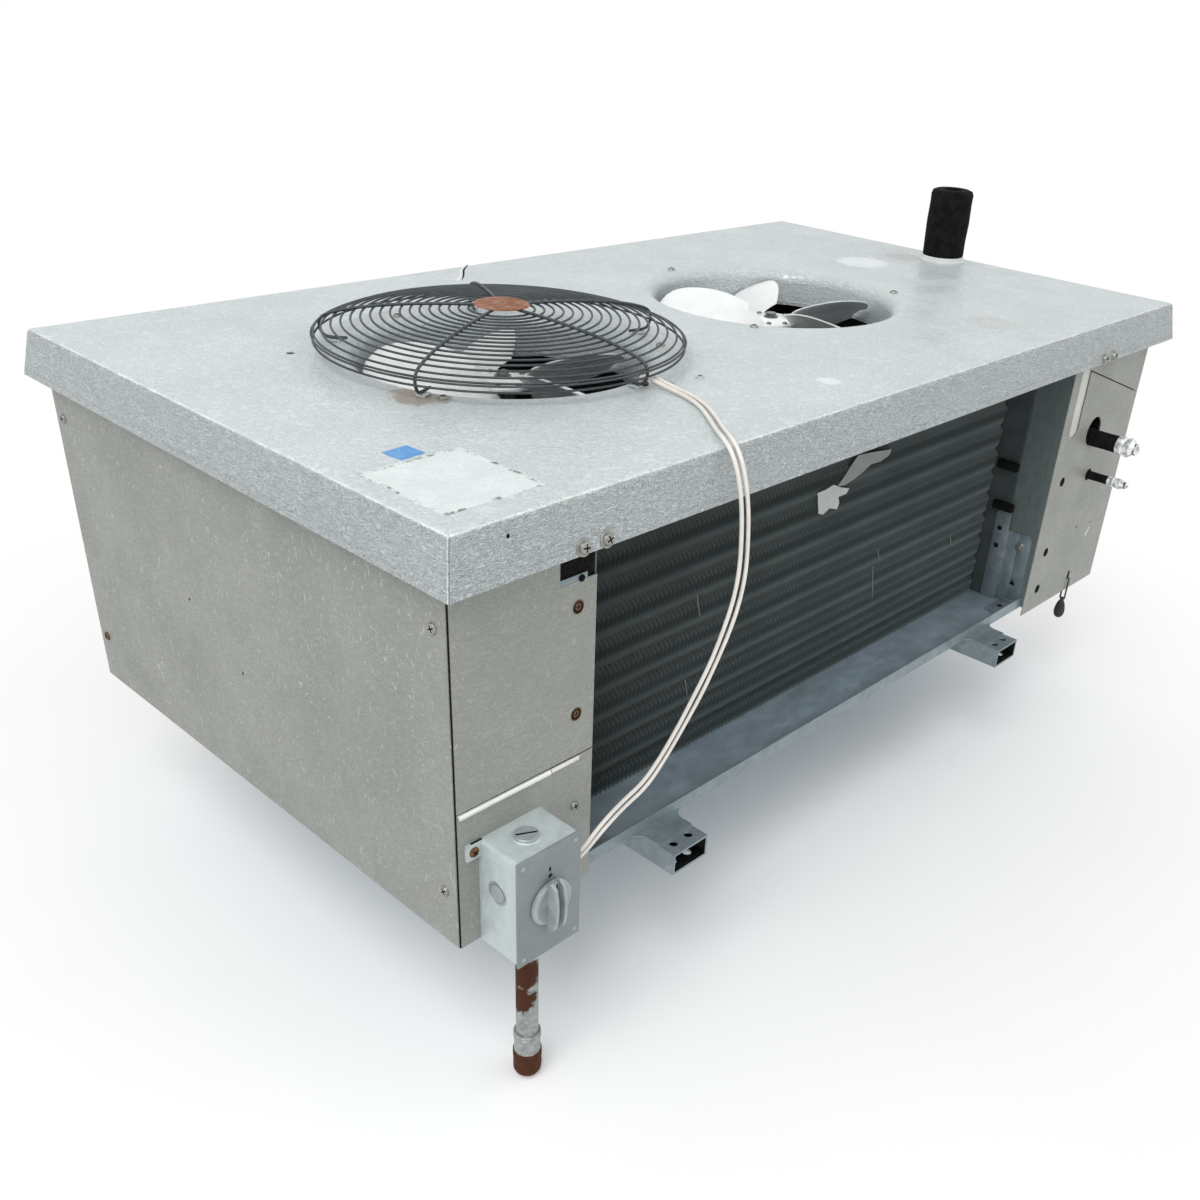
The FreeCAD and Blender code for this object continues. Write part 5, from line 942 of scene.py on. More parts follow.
class COOLER_OT_fans(Operator):
    """Make the two aluminium fans with their riveted hub plates."""
    bl_idname = "cooler.fans"
    bl_label = "Fans"

    def execute(self, context):
        for side, centre, turn in (("left", LEFT_FAN, 62), ("right", RIGHT_FAN, 56)):
            fan = Shape()
            base = at(centre, 0, LID)
            for index in range(BLADES):
                matrix = base @ turned(turn + 360 / BLADES * index)
                blade(fan, matrix)
                for across in (-7, 7):
                    fan.lathe([(0, 0), (3.4, 0), (2.9, 1.3), (1.6, 2.0), (0, 2.2)], 14, 1,
                              matrix @ at(28, across, -29.4))
            fan.lathe([(9.2, -33.5), (36, -33.5), (36, -30.8), (35, -30.3), (31, -30.0), (16, -30.0),
                       (13, -28.0), (9.2, -27.6)], 48, 0, base)
            fan.lathe([(0, -23.6), (5.5, -23.6), (6.3, -24.3), (6.3, -27), (8.8, -27.4), (8.8, -30.4)], 28, 1,
                      base)
            fan.piece(f"fan_{side}_blades", "blades hub", "fan_aluminium", f"fan_{side}",
                      f"fan_{side}_rotor", 40)
        return {"FINISHED"}


# Coils

COIL_FACE = -248.0
# One ripple of a fin: how far up its tube row, how far aside and how deep each bend lies
FIN_RIPPLE = ((0.0, -1.0, 0.0), (0.30, 0.15, 0.6), (0.52, 1.0, 0.2), (0.64, 0.55, 2.6), (0.80, -0.75, 3.4))
PAPER_SCRAP = ((2.7, 282.2), (17.2, 282.3), (32.7, 284.9), (47.5, 278.1), (65.4, 272.3), (60.6, 266.9),
               (45.5, 266.9), (48.8, 258.5), (45.8, 251.7), (29.8, 256.8), (19.0, 252.1), (9.5, 255.5))
PAPER_SMEAR = ((40.9, 281.1), (51.1, 288.8), (63.5, 300.7), (74.9, 310.1), (103.3, 307.5), (144.6, 302.2),
               (141.5, 295.2), (124.8, 291.4), (104.0, 292.4), (89.9, 286.2), (71.0, 281.3), (54.9, 278.6))
BENT_EDGES = (((-194.0, -248.3, 219.6), (-187.1, -248.6, 191.6)),
              ((-203.2, -248.3, 120.8), (-197.8, -248.6, 98.6)),
              ((327.9, -248.3, 143.0), (336.7, -248.6, 124.3)),
              ((143.9, -248.3, 150.6), (153.6, -248.6, 102.9)),
              ((149.4, -248.3, 172.1), (155.9, -248.6, 155.2)))


class COOLER_OT_coils(Operator):
    """Make the two finned coils: rippled fins over their tubes, and the scraps caught on the front one."""
    bl_idname = "cooler.coils"
    bl_label = "Coils"

    def execute(self, context):
        sizes = context.scene.cooler_sizes
        low, high = [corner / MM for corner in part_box("coil_front_fins")]
        pitch = sizes.fin_pitch / MM
        wave = sizes.fin_wave / MM
        rows = round((high.z - low.z) * MM / sizes.tube_pitch)
        tall = (high.z - low.z) / rows
        count = int((high.x - low.x - 2 * wave) / pitch)
        start = low.x + (high.x - low.x - (count - 1) * pitch) / 2
        for side, sign in (("front", 1), ("back", -1)):
            fins = Shape()
            line = [(start + wave * swing, low.y + dent, low.z + tall * (row + share)) for row in range(rows)
                    for share, swing, dent in FIN_RIPPLE]
            line.append((start - wave, low.y, high.z))
            verts = [fins.bm.verts.new(spot) for spot in line]
            edges = [fins.bm.edges.new(pair) for pair in zip(verts, verts[1:])]
            made = bmesh.ops.extrude_edge_only(fins.bm, edges=edges)["geom"]
            for vert in (item for item in made if isinstance(item, bmesh.types.BMVert)):
                vert.co.y = high.y
            bmesh.ops.solidify(fins.bm, geom=list(fins.bm.faces), thickness=0.35)
            whole = fins.bm.verts[:] + fins.bm.edges[:] + fins.bm.faces[:]
            bmesh.ops.spin(fins.bm, geom=whole, cent=(0, 0, 0), axis=(0, 0, 1), dvec=(pitch, 0, 0), angle=0,
                           steps=count - 1, use_duplicate=True)
            fins.done(0)
            for row in range(rows):
                for depth in (16, 44):
                    height = low.z + tall * (row + 0.5)
                    ends = [(x, low.y + depth, height) for x in (low.x + 0.3, high.x - 0.3)]
                    fins.rod(*ends, 5.2, 0.2, 12, 1)
            if sign < 0:
                bmesh.ops.transform(fins.bm, matrix=Matrix.Scale(-1, 4, (0, 1, 0)), verts=fins.bm.verts)
            fins.piece(f"coil_{side}_rippled_fins", "fins copper", "coil_fin", f"coil_{side}_fins", angle=25)

        scraps = Shape()
        scraps.slab(PAPER_SCRAP, 0.5, 0, 0, facing_front(0, COIL_FACE, 0))
        scraps.slab(PAPER_SMEAR, 0.3, 0, 1, facing_front(0, COIL_FACE, 0))
        for start, end in BENT_EDGES:
            scraps.rod(start, end, 0.5, 0.2, 8, 2)
        scraps.piece("paper_and_bent_edges", "scrap torn torn", angle=60)
        return {"FINISHED"}


# Corner panels

SUNK_SCREWS = ((-440.3, 316.0, 2), (-440.3, 211.0, 2), (467.5, 207.0, 1), (467.5, 103.0, 1), (467.5, 46.0, 1))


class COOLER_OT_panels(Operator):
    """Put the screws, lip, seam, notch sheets with painted shade, pads and small holes on the corner and end
    panels.
    """
    bl_idname = "cooler.panels"
    bl_label = "Panels"

    def execute(self, context):
        heads = Shape()
        for sign in (-1, 1):
            y = sign * -FACE
            out = (0, sign, 0)
            for x, z, finish in SUNK_SCREWS:
                self.sunk_screw(heads, (x, y, z), out, finish)
            pan_head(heads, (-440.3, y, 112.0), out, 4.6, 2.3, 15)
        for x, way in ((LEFT_END, -1), (RIGHT_END, 1)):
            for y in (-310.1, 310.1):
                for z, finish in ((336.0, 0), (79.0, 2 if y > 0 else 0)):
                    pan_head(heads, (x, y, z), (way, 0, 0), 5.0, 2.4, y + z, 0, finish)
        pan_head(heads, (-560.0, -330.1, 124.0), (0, -1, 0), 5.0, 2.4, 40, 0, 2)
        heads.piece("panel_screw_heads", "screw recess rusty_screw", "screw_steel", "panel_screws")

        lip = Shape()
        lip.rod((-574.0, FACE, 163.5), (-470.6, FACE, 163.5), 2.8, 0.9, 20)
        lip.box((-470.8, FACE - 0.9, 161.4), (-436.0, FACE + 0.3, 165.9), 0.4)
        lip.piece("rolled_lip", "bright_edge", "casing_sheet")

        holes = Shape()
        # Painted shade: the pin holes here and on the rim are dark discs.
        for x, z in ((553.0, 118.5), (598.5, 113.6)):
            holes.disc(1.5, -0.4, 0.05, 16, 0, facing_front(x, FACE, z))
        for y, z in ((88.0, 210.0), (-1.0, 163.0)):
            holes.disc(1.5, -0.4, 0.05, 16, 0, facing_left(LEFT_END, y, z))
        holes.box((-7.5, -1.0, -0.1), (7.5, 1.0, 0.25), 0.1, 1, facing_front(595.8, FACE, 100.1) @ turned(52))
        holes.box((-575.7, FACE + 0.6, 22.2), (-574.2, FACE + 1.4, 378.0), 0.05)
        rim = aimed(rim_spot(-529.7, 14.0, -1), rim_axis(-1))
        holes.disc(1.7, -0.4, 0.06, 14, 0, rim)
        holes.piece("pin_holes_and_scratch", "recess bright_edge", "casing_sheet")

        insides = Shape()
        insides.box((455.5, FACE + 1.6, 262.0), (479.0, FACE + 3.0, 371.5), 0.6, 0)
        # Painted shade: a dark sheet stands for the shadowed inside of the notch.
        insides.box((-466.0, FACE + 1.8, 338.5), (-421.5, FACE + 2.8, 372.0), 0.4, 1)
        insides.box((-463.0, FACE + 0.2, 337.5), (-430.0, FACE + 1.6, 345.5), 0.5, 2)
        # Painted shade: a dark disc for the hole in the bracket.
        insides.lathe([(0, 0.0), (3.2, 0.0), (3.2, 1.0), (2.2, 1.6), (0, 1.6)], 18, 1,
                      facing_front(-437.0, FACE + 0.2, 341.5))
        insides.piece("notch_sheets_and_painted_shade", "pale_inside recess zinc", "grey_sheet")

        pads = Shape()
        for left, right in ((-413.2, -404.2), (418.4, 427.4)):
            for y, height in ((-266.0, 223.0), (-271.0, 166.0)):
                pads.box((left, y - 15.5, height - 6.0), (right, y + 15.5, height + 6.0), 2.4)
        pads.piece("recess_foam_pads", "black_foam", "black_foam")
        return {"FINISHED"}

    def sunk_screw(self, shape, spot, out, finish):
        """A dark screw sunk in a punched hole, with a rust ring round it where its finish is rusty."""
        matrix = aimed(spot, out)
        # Painted shade: the punched hole, the cross, and the whole head where its finish is the recess one,
        # are in the dark finish.
        shape.lathe([(6.5, -0.05), (6.3, 0.14), (0, 0.12)], 24, 1, matrix)
        shape.lathe([(3.6, 0.10), (3.3, 0.30), (1.5, 0.42), (0, 0.42)], 18, finish, matrix)
        shape.box((-2.6, -0.5, 0.30), (2.6, 0.5, 0.46), 0, 1, matrix)
        shape.box((-0.5, -2.6, 0.30), (0.5, 2.6, 0.46), 0, 1, matrix)
        if finish == 2:
            shape.lathe([(5.3, 0.1), (5.9, 0.26), (6.5, 0.1)], 24, 2, matrix @ at(0, -0.4, 0))


class COOLER_OT_brackets(Operator):
    """Make the joggled angle brackets that tie the recess cheeks to the mounting plate."""
    bl_idname = "cooler.brackets"
    bl_label = "Coil Brackets"

    def execute(self, context):
        shape = Shape()
        for side, wall in ((-1, -419.3), (1, 433.5)):
            for sign in (-1, 1):
                flip = Matrix(((-side, 0, 0, wall), (0, -sign, 0, 0), (0, 0, 1, 0), (0, 0, 0, 1)))
                self.bracket(shape, flip)
        shape.piece("joggled_brackets", "zinc recess screw", "galvanised_steel", "coil_brackets")
        return {"FINISHED"}

    def bracket(self, shape, place):
        """One bracket against a wall at local x = 0, its front edge at local y = -319."""
        upright = facing_along(0.1, 0, 27.0)
        shape.slab([(-318.6, 0), (-300.0, 0), (-300.0, 104.8), (-313, 104.8), (-318.6, 99)], 1.9, 0.4, 0,
                   place @ upright)
        shape.slab([(-284.0, 0), (-262.0, 0), (-262.0, 126), (-266, 131.5), (-284.0, 131.5)], 1.9, 0.4, 0,
                   place @ at(6.1, 0, 0) @ upright)
        shape.box((0.2, -301.0, 27.2), (2.0, -282.4, 131.8), 0.3, 0, place)
        shape.box((0.3, -284.4, 27.2), (8.0, -282.4, 131.8), 0.4, 0, place)
        shape.box((0.4, -314.9, 27.1), (47.9, -291.1, 29.1), 0.5, 0, place)
        shape.box((0.6, -314.6, 28.4), (4.4, -291.4, 32.6), 1.4, 0, place)
        # Painted shade: the bolt holes and the triangular hole are dark discs and a dark triangle.
        for y, z in ((-271.0, 133.0), (-271.0, 107.0)):
            shape.disc(3.6, -0.3, 0.05, 20, 1, place @ aimed((8.1, y, z), (1, 0, 0)))
        shape.disc(4.0, -0.3, 0.05, 20, 1, place @ aimed((24.0, -303.0, 29.1), UP))
        shape.slab(polygon(5.2, 3, math.pi / 2), 0.3, 0, 1, place @ facing_along(1.85, -304.0, 58.0))
        bolt = aimed(place @ Vector((2.0, -303.5, 113.0)), place.to_3x3() @ Vector((1, 0, 0)))
        shape.lathe([(0, 0), (6.09, 0), (6.09, 0.9), (5.67, 1.3), (0, 1.3)], 28, 2, bolt)
        shape.slab(polygon(4.2, 6, 0), 3.2, 0.6, 2, bolt @ at(0, 0, 1.2))


# Refrigerant stubs and drain

# Each stub's place, its sleeve's and its foil's radius, and where the sleeve and the foil end
STUBS = (("suction", 530.5, 257.0, 11.5, 14.0, -371.1, -395.1),
         ("liquid", 548.5, 199.0, 6.0, 8.0, -363.1, -387.1))
FOIL_FOLDS = ((0.74, 0.14), (0.84, 0.26), (0.88, 0.40), (0.84, 0.54), (0.70, 0.66), (0.58, 0.76),
              (0.50, 0.86), (0.34, 0.95), (0.0, 0.985))


def crumple(verts, centre, swing, size):
    """Push each vertex in or out from a line along Y by smooth noise, as in crushed foil."""
    for vert in verts:
        away = Vector((vert.co.x - centre[0], 0, vert.co.z - centre[1]))
        push = noise.noise(vert.co / size) + 0.5 * noise.noise(vert.co / size * 2.3)
        vert.co += away.normalized() * push * swing if away.length > 0.01 else Vector((0, push * swing, 0))


def dent(verts, middle, clear, size, depth):
    """Press the outside of an upright turned part inwards by smooth noise."""
    for vert in verts:
        out = Vector((vert.co.x - middle[0], vert.co.y - middle[1], 0))
        if out.length > clear:
            vert.co += out.normalized() * min(0.0, noise.noise(vert.co / size) * depth)


class COOLER_OT_stubs(Operator):
    """Make the pipe sleeves and their crushed foil ends, the drain's sleeve and collar, and the plug."""
    bl_idname = "cooler.stubs"
    bl_label = "Pipe Stubs"

    def execute(self, context):
        for name, x, z, radius, foil, tip, end in STUBS:
            sleeve = Shape()
            length = tip - FACE
            sleeve.lathe([(radius - 2.5, length), (radius - 1.2, length), (radius - 0.2, length + 1.0),
                          (radius, length + 4), (radius - 0.25, length * 0.5), (radius, -2), (radius, 28),
                          (radius - 2, 28)], 36, 0, aimed((x, FACE, z), (0, 1, 0)))
            sleeve.piece(f"{name}_foam_sleeve", "black_foam", "black_foam", f"{name}_sleeve")
            cap = Shape()
            reach = tip - end
            profile = [(radius * 0.9, -6.5), (radius + 0.35, -5.5), (radius + 0.5, -0.5), (foil * 0.9, 2.0)]
            profile += [(foil * share, reach * out) for share, out in FOIL_FOLDS]
            verts = cap.lathe(profile, 30, 0, aimed((x, tip, z), (0, -1, 0)))
            crumple([vert for vert in verts if vert.co.y < tip - 0.5], (x, z), foil * 0.16, foil * 0.42)
            for vert in verts:
                vert.co.y = max(vert.co.y, end + 0.3)
            cap.piece(f"{name}_crushed_foil", "foil", "foil", f"{name}_foil", flat=True)

        foam = Shape()
        verts = foam.lathe([(14, 8), (29.5, 8), (30.7, 10), (30.2, 30), (30.8, 55), (30.3, 80), (30.4, 93),
                            (28.6, 97.6), (24, 99.4), (14, 99.4), (12, 97)], 44, 0, at(DRAIN, 0, LID))
        dent(verts, (DRAIN, 0), 20, 16, 1.6)
        foam.piece("drain_foam_sleeve", "black_foam", "grey_foam", "drain_sleeve", angle=50)
        collar = Shape()
        collar.lathe([(13.4, 0.1), (33, 0.1), (33, 2.6), (31.5, 3.6), (31.2, 7.0), (30.0, 8.0), (13.4, 8.0)],
                     44, 0, at(DRAIN, 0, LID))
        collar.lathe([(14, -10.4), (21, -10.4), (21, -1.6), (14, -1.6)], 6, 0, at(DRAIN, 0, LID))
        collar.piece("drain_collar", "collar", "drain_plastic", "drain_fitting")

        plug = Shape()
        plug.lathe([(0, -31.2), (2.6, -30.8), (5.2, -29.0), (7.2, -25.5), (7.9, -21.0), (7.6, -16.0),
                    (6.2, -9.5), (4.0, -4.0), (2.3, -1.4), (1.9, 0.6), (1.8, 2.2), (0, 2.5)], 28, 0,
                   at(566.5, -326.5, -1.1))
        plug.piece("teardrop_plug", "black", "plug_rubber", "drop_plug", "hanging_plug")
        return {"FINISHED"}


# Switch box

COVER_FACE = -378.0
SWITCH = -516.5
KNOB_HEIGHT = 75.0
CONDUIT = (-519.5, -351.1)
BOX_LEFT = -552.5
KNOB_RIDGE = ((-25.5, 3.8), (25.5, 3.8), (26.5, 8.0), (22.0, 13.2), (12.0, 15.4), (0.0, 16.0), (-12.0, 15.4),
              (-22.0, 13.2), (-26.5, 8.0))


class COOLER_OT_switch(Operator):
    """Make the switch box's cover, knob, entries, lug and the conduit's hub and cap under it."""
    bl_idname = "cooler.switch"
    bl_label = "Switch Box"

    def execute(self, context):
        cover = Shape()
        mark = facing_front(SWITCH, COVER_FACE, 103.0)
        cover.box((-553.3, -378.0, 17.2), (-479.7, -375.2, 132.8), 1.1)
        cover.box((-551.6, -375.4, 18.8), (-481.4, -374.4, 131.2), 0.3)
        cover.lathe([(2.4, 0.0), (3.4, 0.05), (3.4, 0.7), (2.4, 0.7), (2.4, -0.2), (0, -0.2)], 20, 0, mark)
        # Painted shade: a dark disc stands for the hole inside the ring.
        cover.disc(2.3, -0.1, 0.12, 16, 1, mark)
        cover.slab([(-1.0, 5.0), (1.0, 5.0), (1.0, 9.0), (-1.0, 9.0)], 0.3, 0, 1, mark)
        for x in (-546.5, -486.5):
            for z in (24.5, 125.5):
                cover.lathe([(0, 0.5), (1.6, 0.5), (2.4, 0.1), (2.4, -0.1)], 16, 2,
                            facing_front(x, COVER_FACE, z))
        cover.piece("cover_plate", "cover recess knob", "cast_aluminium", "switch_cover")

        knob = Shape()
        base = facing_front(SWITCH, COVER_FACE - 0.4, KNOB_HEIGHT)
        knob.lathe([(0, 0), (22.0, 0), (22.5, 0.8), (22.3, 3.0), (20.8, 4.6), (18.6, 5.0), (17.4, 4.4),
                    (0, 4.4)], 48, 0, base)
        for across in (-6.9, 3.0):
            knob.slab(KNOB_RIDGE, 3.9, 0.9, 0, base @ facing_along(across, 0, 0))
        knob.box((-3.2, -24.5, 4.2), (3.2, 24.5, 8.6), 1.4, 0, base)
        knob.box((-2.6, -27.4, 1.2), (2.6, -21.5, 6.4), 1.0, 0, base)
        knob.box((-0.7, 15.5, 8.4), (0.7, 23.8, 8.9), 0.2, 1, base)
        knob.rod((SWITCH, -378.6, KNOB_HEIGHT), (SWITCH, -360.6, KNOB_HEIGHT), 4.0, 0.3)
        knob.piece("ridged_knob", "knob recess", "cast_aluminium", "switch_knob", "knob")

        cast = Shape()
        top = at(*CONDUIT, 132.0)
        cast.lathe([(0, -0.2), (13.6, -0.2), (13.6, 0.4), (12.8, 1.0), (0, 1.0)], 36, 0, top)
        cast.lathe([(0, 0.9), (11.5, 0.9), (11.5, 2.2), (10.6, 2.9), (0, 2.9)], 36, 2, top)
        # Painted shade: the plug's slot and, below, the side entry's groove are in the dark finish.
        cast.box((-9.6, -1.1, 2.3), (9.6, 1.1, 2.96), 0.1, 1, top @ turned(-28))
        side = facing_left(BOX_LEFT, CONDUIT[1], 87.0)
        cast.lathe([(0, 0.35), (9.0, 0.35), (9.2, 0.1), (10.4, 0.1), (10.6, 0.5), (11.6, 0.5), (12.0, -0.1)],
                   36, 2, side)
        cast.lathe([(9.0, 0.36), (9.15, 0.42), (9.3, 0.12)], 36, 1, side)
        cast.box((-10.5, -13.5, -0.1), (-6.0, 7.0, 0.5), 0.2, 0, facing_left(BOX_LEFT, -339.0, 60.0))
        cast.piece("box_entries", "cast recess knob", "cast_aluminium", "closure_plug")

        lug = Shape()
        corners = [(3.0, -8.0), (-9.5, -8.0), (-12.9, -6.6), (-15.0, -3.6), (-15.0, 3.6), (-12.9, 6.6),
                   (-9.5, 8.0), (3.0, 8.0)]
        lug.slab(corners, 3.0, 0.8, 0, facing_front(BOX_LEFT, -327.2, 124.0))
        lug.box((-551.2, -374.6, 18.8), (-481.8, -372.6, 131.2), 0.6)
        lug.piece("box_lug_and_rim", "cast", "cast_aluminium")

        pipe = Shape()
        stem = at(*CONDUIT, 0)
        pipe.lathe([(10.7, 18.0), (15.6, 17.9), (16.0, 16.6), (15.6, 14.2), (14.5, 13.4), (14.2, 8.5),
                    (14.9, 7.6), (14.9, 1.6), (14.0, 0.4), (12.2, -1.0), (10.7, -1.0)], 40, 0, stem)
        pipe.piece("conduit_hub", "cast", "conduit_steel", "conduit_connector")

        tail = Shape()
        tail.lathe([(10.7, -99.0), (12.6, -99.0), (13.2, -99.8), (13.2, -101.6), (12.5, -102.2),
                    (12.5, -103.0), (13.2, -103.6), (13.2, -105.4), (12.6, -106.2), (12.7, -121.5),
                    (13.0, -123.0)], 40, 0, stem)
        verts = tail.lathe([(13.0, -122.6), (14.0, -123.6), (14.0, -132.0), (13.4, -136.0), (13.9, -140.0),
                            (13.6, -147.0), (12.2, -150.4), (9.0, -152.4), (0, -152.8)], 40, 1, stem)
        dent(verts, CONDUIT, 5, 5, 0.8)
        tail.piece("coupling_and_cap", "conduit rust", "rusty_steel", "conduit_cap")
        return {"FINISHED"}


# Leads

LEADS_OVER_PAN = {
    "a": (
        (376.6, 167.1, 9.3), (377.6, 159.8, 9.4), (380.2, 146.4, 6.4), (382.3, 130.0, 3.2),
        (379.0, 108.0, 2.6), (367.5, 80.0, 2.7), (347.0, 50.0, 2.6), (325.0, 22.0, 3.4), (310.0, 2.0, 6.0),
        (303.5, -14.0, -1.5), (303.0, -23.0, -20.0), (306.0, -27.0, -46.0), (309.0, -28.0, -77.0),
        (309.5, -29.0, -110.0), (306.0, -28.0, -140.0), (296.5, -27.0, -168.0), (282.0, -26.0, -196.0),
        (267.0, -23.5, -226.0), (250.0, -20.0, -254.0), (230.0, -18.0, -281.0),
    ),
    "b": (
        (370.2, 167.1, 9.3), (371.1, 159.8, 9.3), (373.6, 146.6, 6.2), (375.7, 130.5, 3.0),
        (372.4, 110.5, 2.6), (361.5, 84.0, 2.7), (341.5, 55.0, 2.6), (319.5, 27.0, 3.2), (303.5, 5.5, 5.8),
        (296.5, -12.0, -1.5), (296.0, -22.0, -21.0), (298.5, -26.0, -47.0), (300.5, -27.5, -78.0),
        (301.0, -28.0, -110.0), (297.5, -26.5, -140.0), (288.0, -25.5, -167.0), (274.0, -25.0, -196.0),
        (259.0, -21.5, -225.0), (242.5, -19.0, -253.0), (223.0, -17.0, -279.0),
    ),
}
LEADS_AT_BOX = {
    "a": ((98.5, -6.0, 43.0), (70.5, -4.0, 32.0), (45.0, -2.5, 17.5), (19.0, 0.0, -3.2), (0.0, 0.0, -3.2)),
    "b": ((95.5, -4.5, 49.0), (67.5, -3.0, 38.0), (41.3, -1.5, 23.0), (19.0, 0.0, 3.2), (0.0, 0.0, 3.2)),
}
PAN_CORNER = Vector((PAN_LEFT, PAN_FRONT, LID))
BOX_BUSHING = Vector((-474.5, CONDUIT[1], KNOB_HEIGHT))
LEAD_STARTS = {"a": Vector((-206.1, -170.8, 426.0)), "b": Vector((-212.5, -170.8, 426.0))}


class COOLER_OT_leads(Operator):
    """Lay the two fan leads from the pan's grommet to the switch box."""
    bl_idname = "cooler.leads"
    bl_label = "Fan Leads"

    def execute(self, context):
        for name in ("a", "b"):
            points = [LEAD_STARTS[name], LEAD_STARTS[name] + Vector((0, 0, 4.2))]
            points += [PAN_CORNER + Vector(spot) for spot in LEADS_OVER_PAN[name]]
            points += [BOX_BUSHING + Vector(spot) for spot in LEADS_AT_BOX[name]]
            points = [point * MM for point in points]
            curve = wire_curve(f"lead_{name}", context.scene.cooler_sizes.lead_width, 12)
            add_route(curve, points)
            lead = piece(f"lead_{name}", curve, "leads", f"fan_lead_{name}")
        return {"FINISHED"}


class COOLER_OT_finishes(Operator):
    """Make the finishes and put them on the CAD pieces."""
    bl_idname = "cooler.finishes"
    bl_label = "Finishes"

    def execute(self, context):
        make_materials(context.scene.cooler_colours)
        return {"FINISHED"}


# Stage

FOCAL_PIXELS = 1216.37
PICTURE_PIXELS = 1200
LENS_SHIFT = (-70, 100)
FLOOR_FADE = 4.5
FLOOR_SIZE = 60
LAMP_AIM = Vector((0, 0, 0.2))
CAMERA_SPOT = Vector((-488.859, -640.634, 350.881))
CAMERA_RIGHT = Vector((0.67949935, -0.73143068, 0.0573567))
CAMERA_DOWN = Vector((-0.3440687, -0.38673374, -0.85560139))
CAMERA_AHEAD = Vector((0.64799488, 0.56164595, -0.51444773))


def soft_lamp(name, spot, width, power):
    """A square lamp that faces the cooler."""
    light = bpy.data.lights.new(name, "AREA")
    light.size = width
    light.energy = power
    lamp = bpy.data.objects.new(name, light)
    lamp.location = spot
    lamp.rotation_euler = (LAMP_AIM - Vector(spot)).to_track_quat("-Z", "Y").to_euler()
    bpy.context.scene.collection.objects.link(lamp)


def seen_directly(tree):
    """One for what the camera, mirror and glass rays see, and nought for light that falls on things."""
    rays = tree.nodes.new("ShaderNodeLightPath")
    total = rays.outputs["Is Camera Ray"]
    for ray in ("Is Glossy Ray", "Is Transmission Ray"):
        add = tree.nodes.new("ShaderNodeMath")
        add.operation = "MAXIMUM"
        tree.links.new(total, add.inputs[0])
        tree.links.new(rays.outputs[ray], add.inputs[1])
        total = add.outputs[0]
    return total


def studio_world():
    """A world that the camera sees as white, and that lights the cooler a little less brightly."""
    world = bpy.data.worlds.new("studio")
    world.use_nodes = True
    tree = world.node_tree
    plain, white = tree.nodes["Background"], tree.nodes.new("ShaderNodeBackground")
    for background, strength in ((plain, 0.75), (white, 1)):
        background.inputs["Color"].default_value = (1, 1, 1, 1)
        background.inputs["Strength"].default_value = strength
    blend = tree.nodes.new("ShaderNodeMixShader")
    for index, source in enumerate((seen_directly(tree), plain.outputs[0], white.outputs[0])):
        tree.links.new(source, blend.inputs[index])
    tree.links.new(blend.outputs[0], tree.nodes["World Output"].inputs["Surface"])
    return world


def pale_floor():
    """A matt pale floor that fades into the white background far from the cooler."""
    finish = Finish("pale_floor", roughness=0.9)
    grain = finish.blots(0.3, 0.7, 0.4, 3)
    finish.colour(finish.mix(grain, (0.93, 0.93, 0.93), (0.95, 0.95, 0.95)))
    far = finish.near((0, 0, 0), FLOOR_FADE)
    white = finish.tree.nodes.new("ShaderNodeEmission")
    blend = finish.tree.nodes.new("ShaderNodeMixShader")
    finish.put(blend, 0, finish.spread(far, 0.80, 0.985, 1.0, 0.0))
    finish.link(finish.shader.outputs[0], blend.inputs[1])
    finish.link(white.outputs[0], blend.inputs[2])
    finish.link(blend.outputs[0], finish.tree.nodes["Material Output"].inputs["Surface"])
    return finish.material


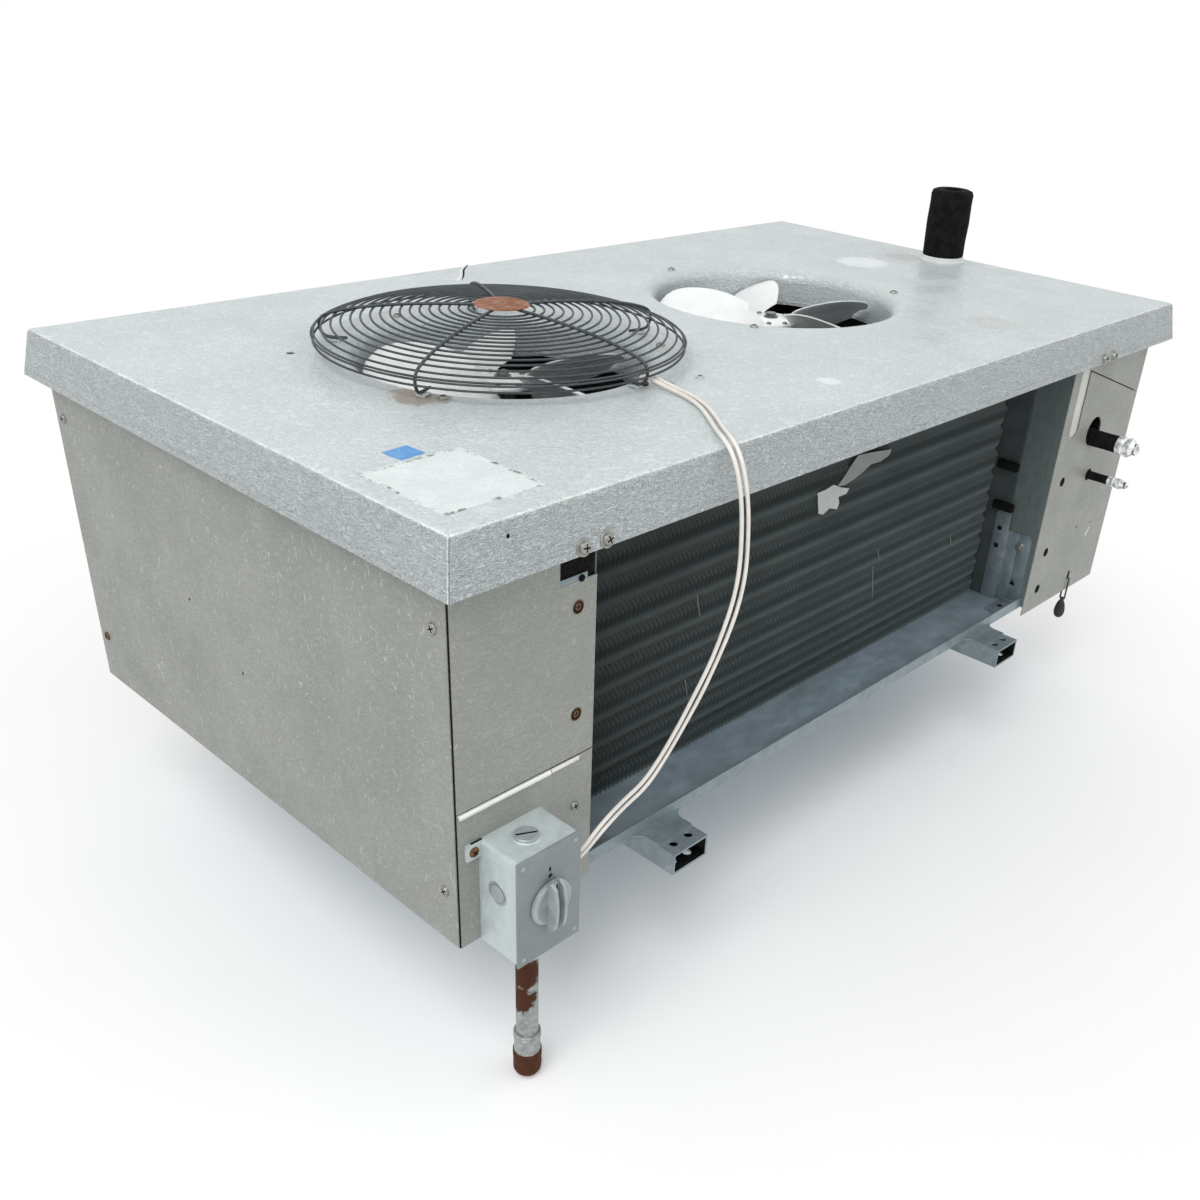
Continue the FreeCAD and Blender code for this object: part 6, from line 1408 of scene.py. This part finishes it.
class COOLER_OT_stage(Operator):
    """Set the camera, the pale floor, the world and the lamps."""
    bl_idname = "cooler.stage"
    bl_label = "Stage"

    def execute(self, context):
        scene = context.scene
        scene.view_settings.view_transform = "Standard"
        view = bpy.data.cameras.new("camera")
        view.sensor_width = 36
        view.lens = view.sensor_width * FOCAL_PIXELS / PICTURE_PIXELS
        view.shift_x, view.shift_y = (shift / PICTURE_PIXELS for shift in LENS_SHIFT)
        view.clip_start = 0.05
        view.clip_end = 50
        camera = bpy.data.objects.new("camera", view)
        turn = Matrix((CAMERA_RIGHT, -CAMERA_DOWN, -CAMERA_AHEAD)).transposed().to_4x4()
        camera.matrix_world = Matrix.Translation((PAN_CORNER + CAMERA_SPOT) * MM) @ turn
        scene.collection.objects.link(camera)
        scene.camera = camera

        floor_bm = bmesh.new()
        bmesh.ops.create_grid(floor_bm, x_segments=1, y_segments=1, size=FLOOR_SIZE,
                              matrix=at(0, 0, CAD_BOUNDS[0][2] - 0.002))
        floor_mesh = bpy.data.meshes.new("floor")
        floor_bm.to_mesh(floor_mesh)
        floor_bm.free()
        floor = bpy.data.objects.new("floor", floor_mesh)
        scene.collection.objects.link(floor)
        floor_mesh.materials.append(pale_floor())

        scene.world = studio_world()
        soft_lamp("key_lamp", (-2.2, -0.9, 3.0), 2.0, 62)
        soft_lamp("fill_lamp", (1.6, -2.2, 2.6), 2.5, 12)
        return {"FINISHED"}


class COOLER_PT_panel(Panel):
    """Lists the steps that dress the cooler."""
    bl_idname = "COOLER_PT_panel"
    bl_label = "Unit Cooler"
    bl_space_type = "VIEW_3D"
    bl_region_type = "UI"
    bl_category = "Unit Cooler"

    def draw(self, context):
        for operator in OPERATORS:
            self.layout.operator(operator.bl_idname)


OPERATORS = (COOLER_OT_stage, COOLER_OT_finishes, COOLER_OT_pan, COOLER_OT_guard, COOLER_OT_fans,
             COOLER_OT_coils, COOLER_OT_panels, COOLER_OT_brackets, COOLER_OT_stubs, COOLER_OT_switch,
             COOLER_OT_leads)
CLASSES = (CoolerColours, CoolerSizes) + OPERATORS + (COOLER_PT_panel,)


def register():
    for one in CLASSES:
        bpy.utils.register_class(one)
    bpy.types.Scene.cooler_colours = PointerProperty(type=CoolerColours)
    bpy.types.Scene.cooler_sizes = PointerProperty(type=CoolerSizes)


def unregister():
    del bpy.types.Scene.cooler_sizes
    del bpy.types.Scene.cooler_colours
    for one in reversed(CLASSES):
        bpy.utils.unregister_class(one)


def main():
    """Dress the cooler."""
    register()
    bpy.ops.cooler.stage()
    bpy.ops.cooler.finishes()
    bpy.ops.cooler.pan()
    bpy.ops.cooler.guard()
    bpy.ops.cooler.fans()
    bpy.ops.cooler.coils()
    bpy.ops.cooler.panels()
    bpy.ops.cooler.brackets()
    bpy.ops.cooler.stubs()
    bpy.ops.cooler.switch()
    bpy.ops.cooler.leads()


if __name__ == "__main__":
    main()
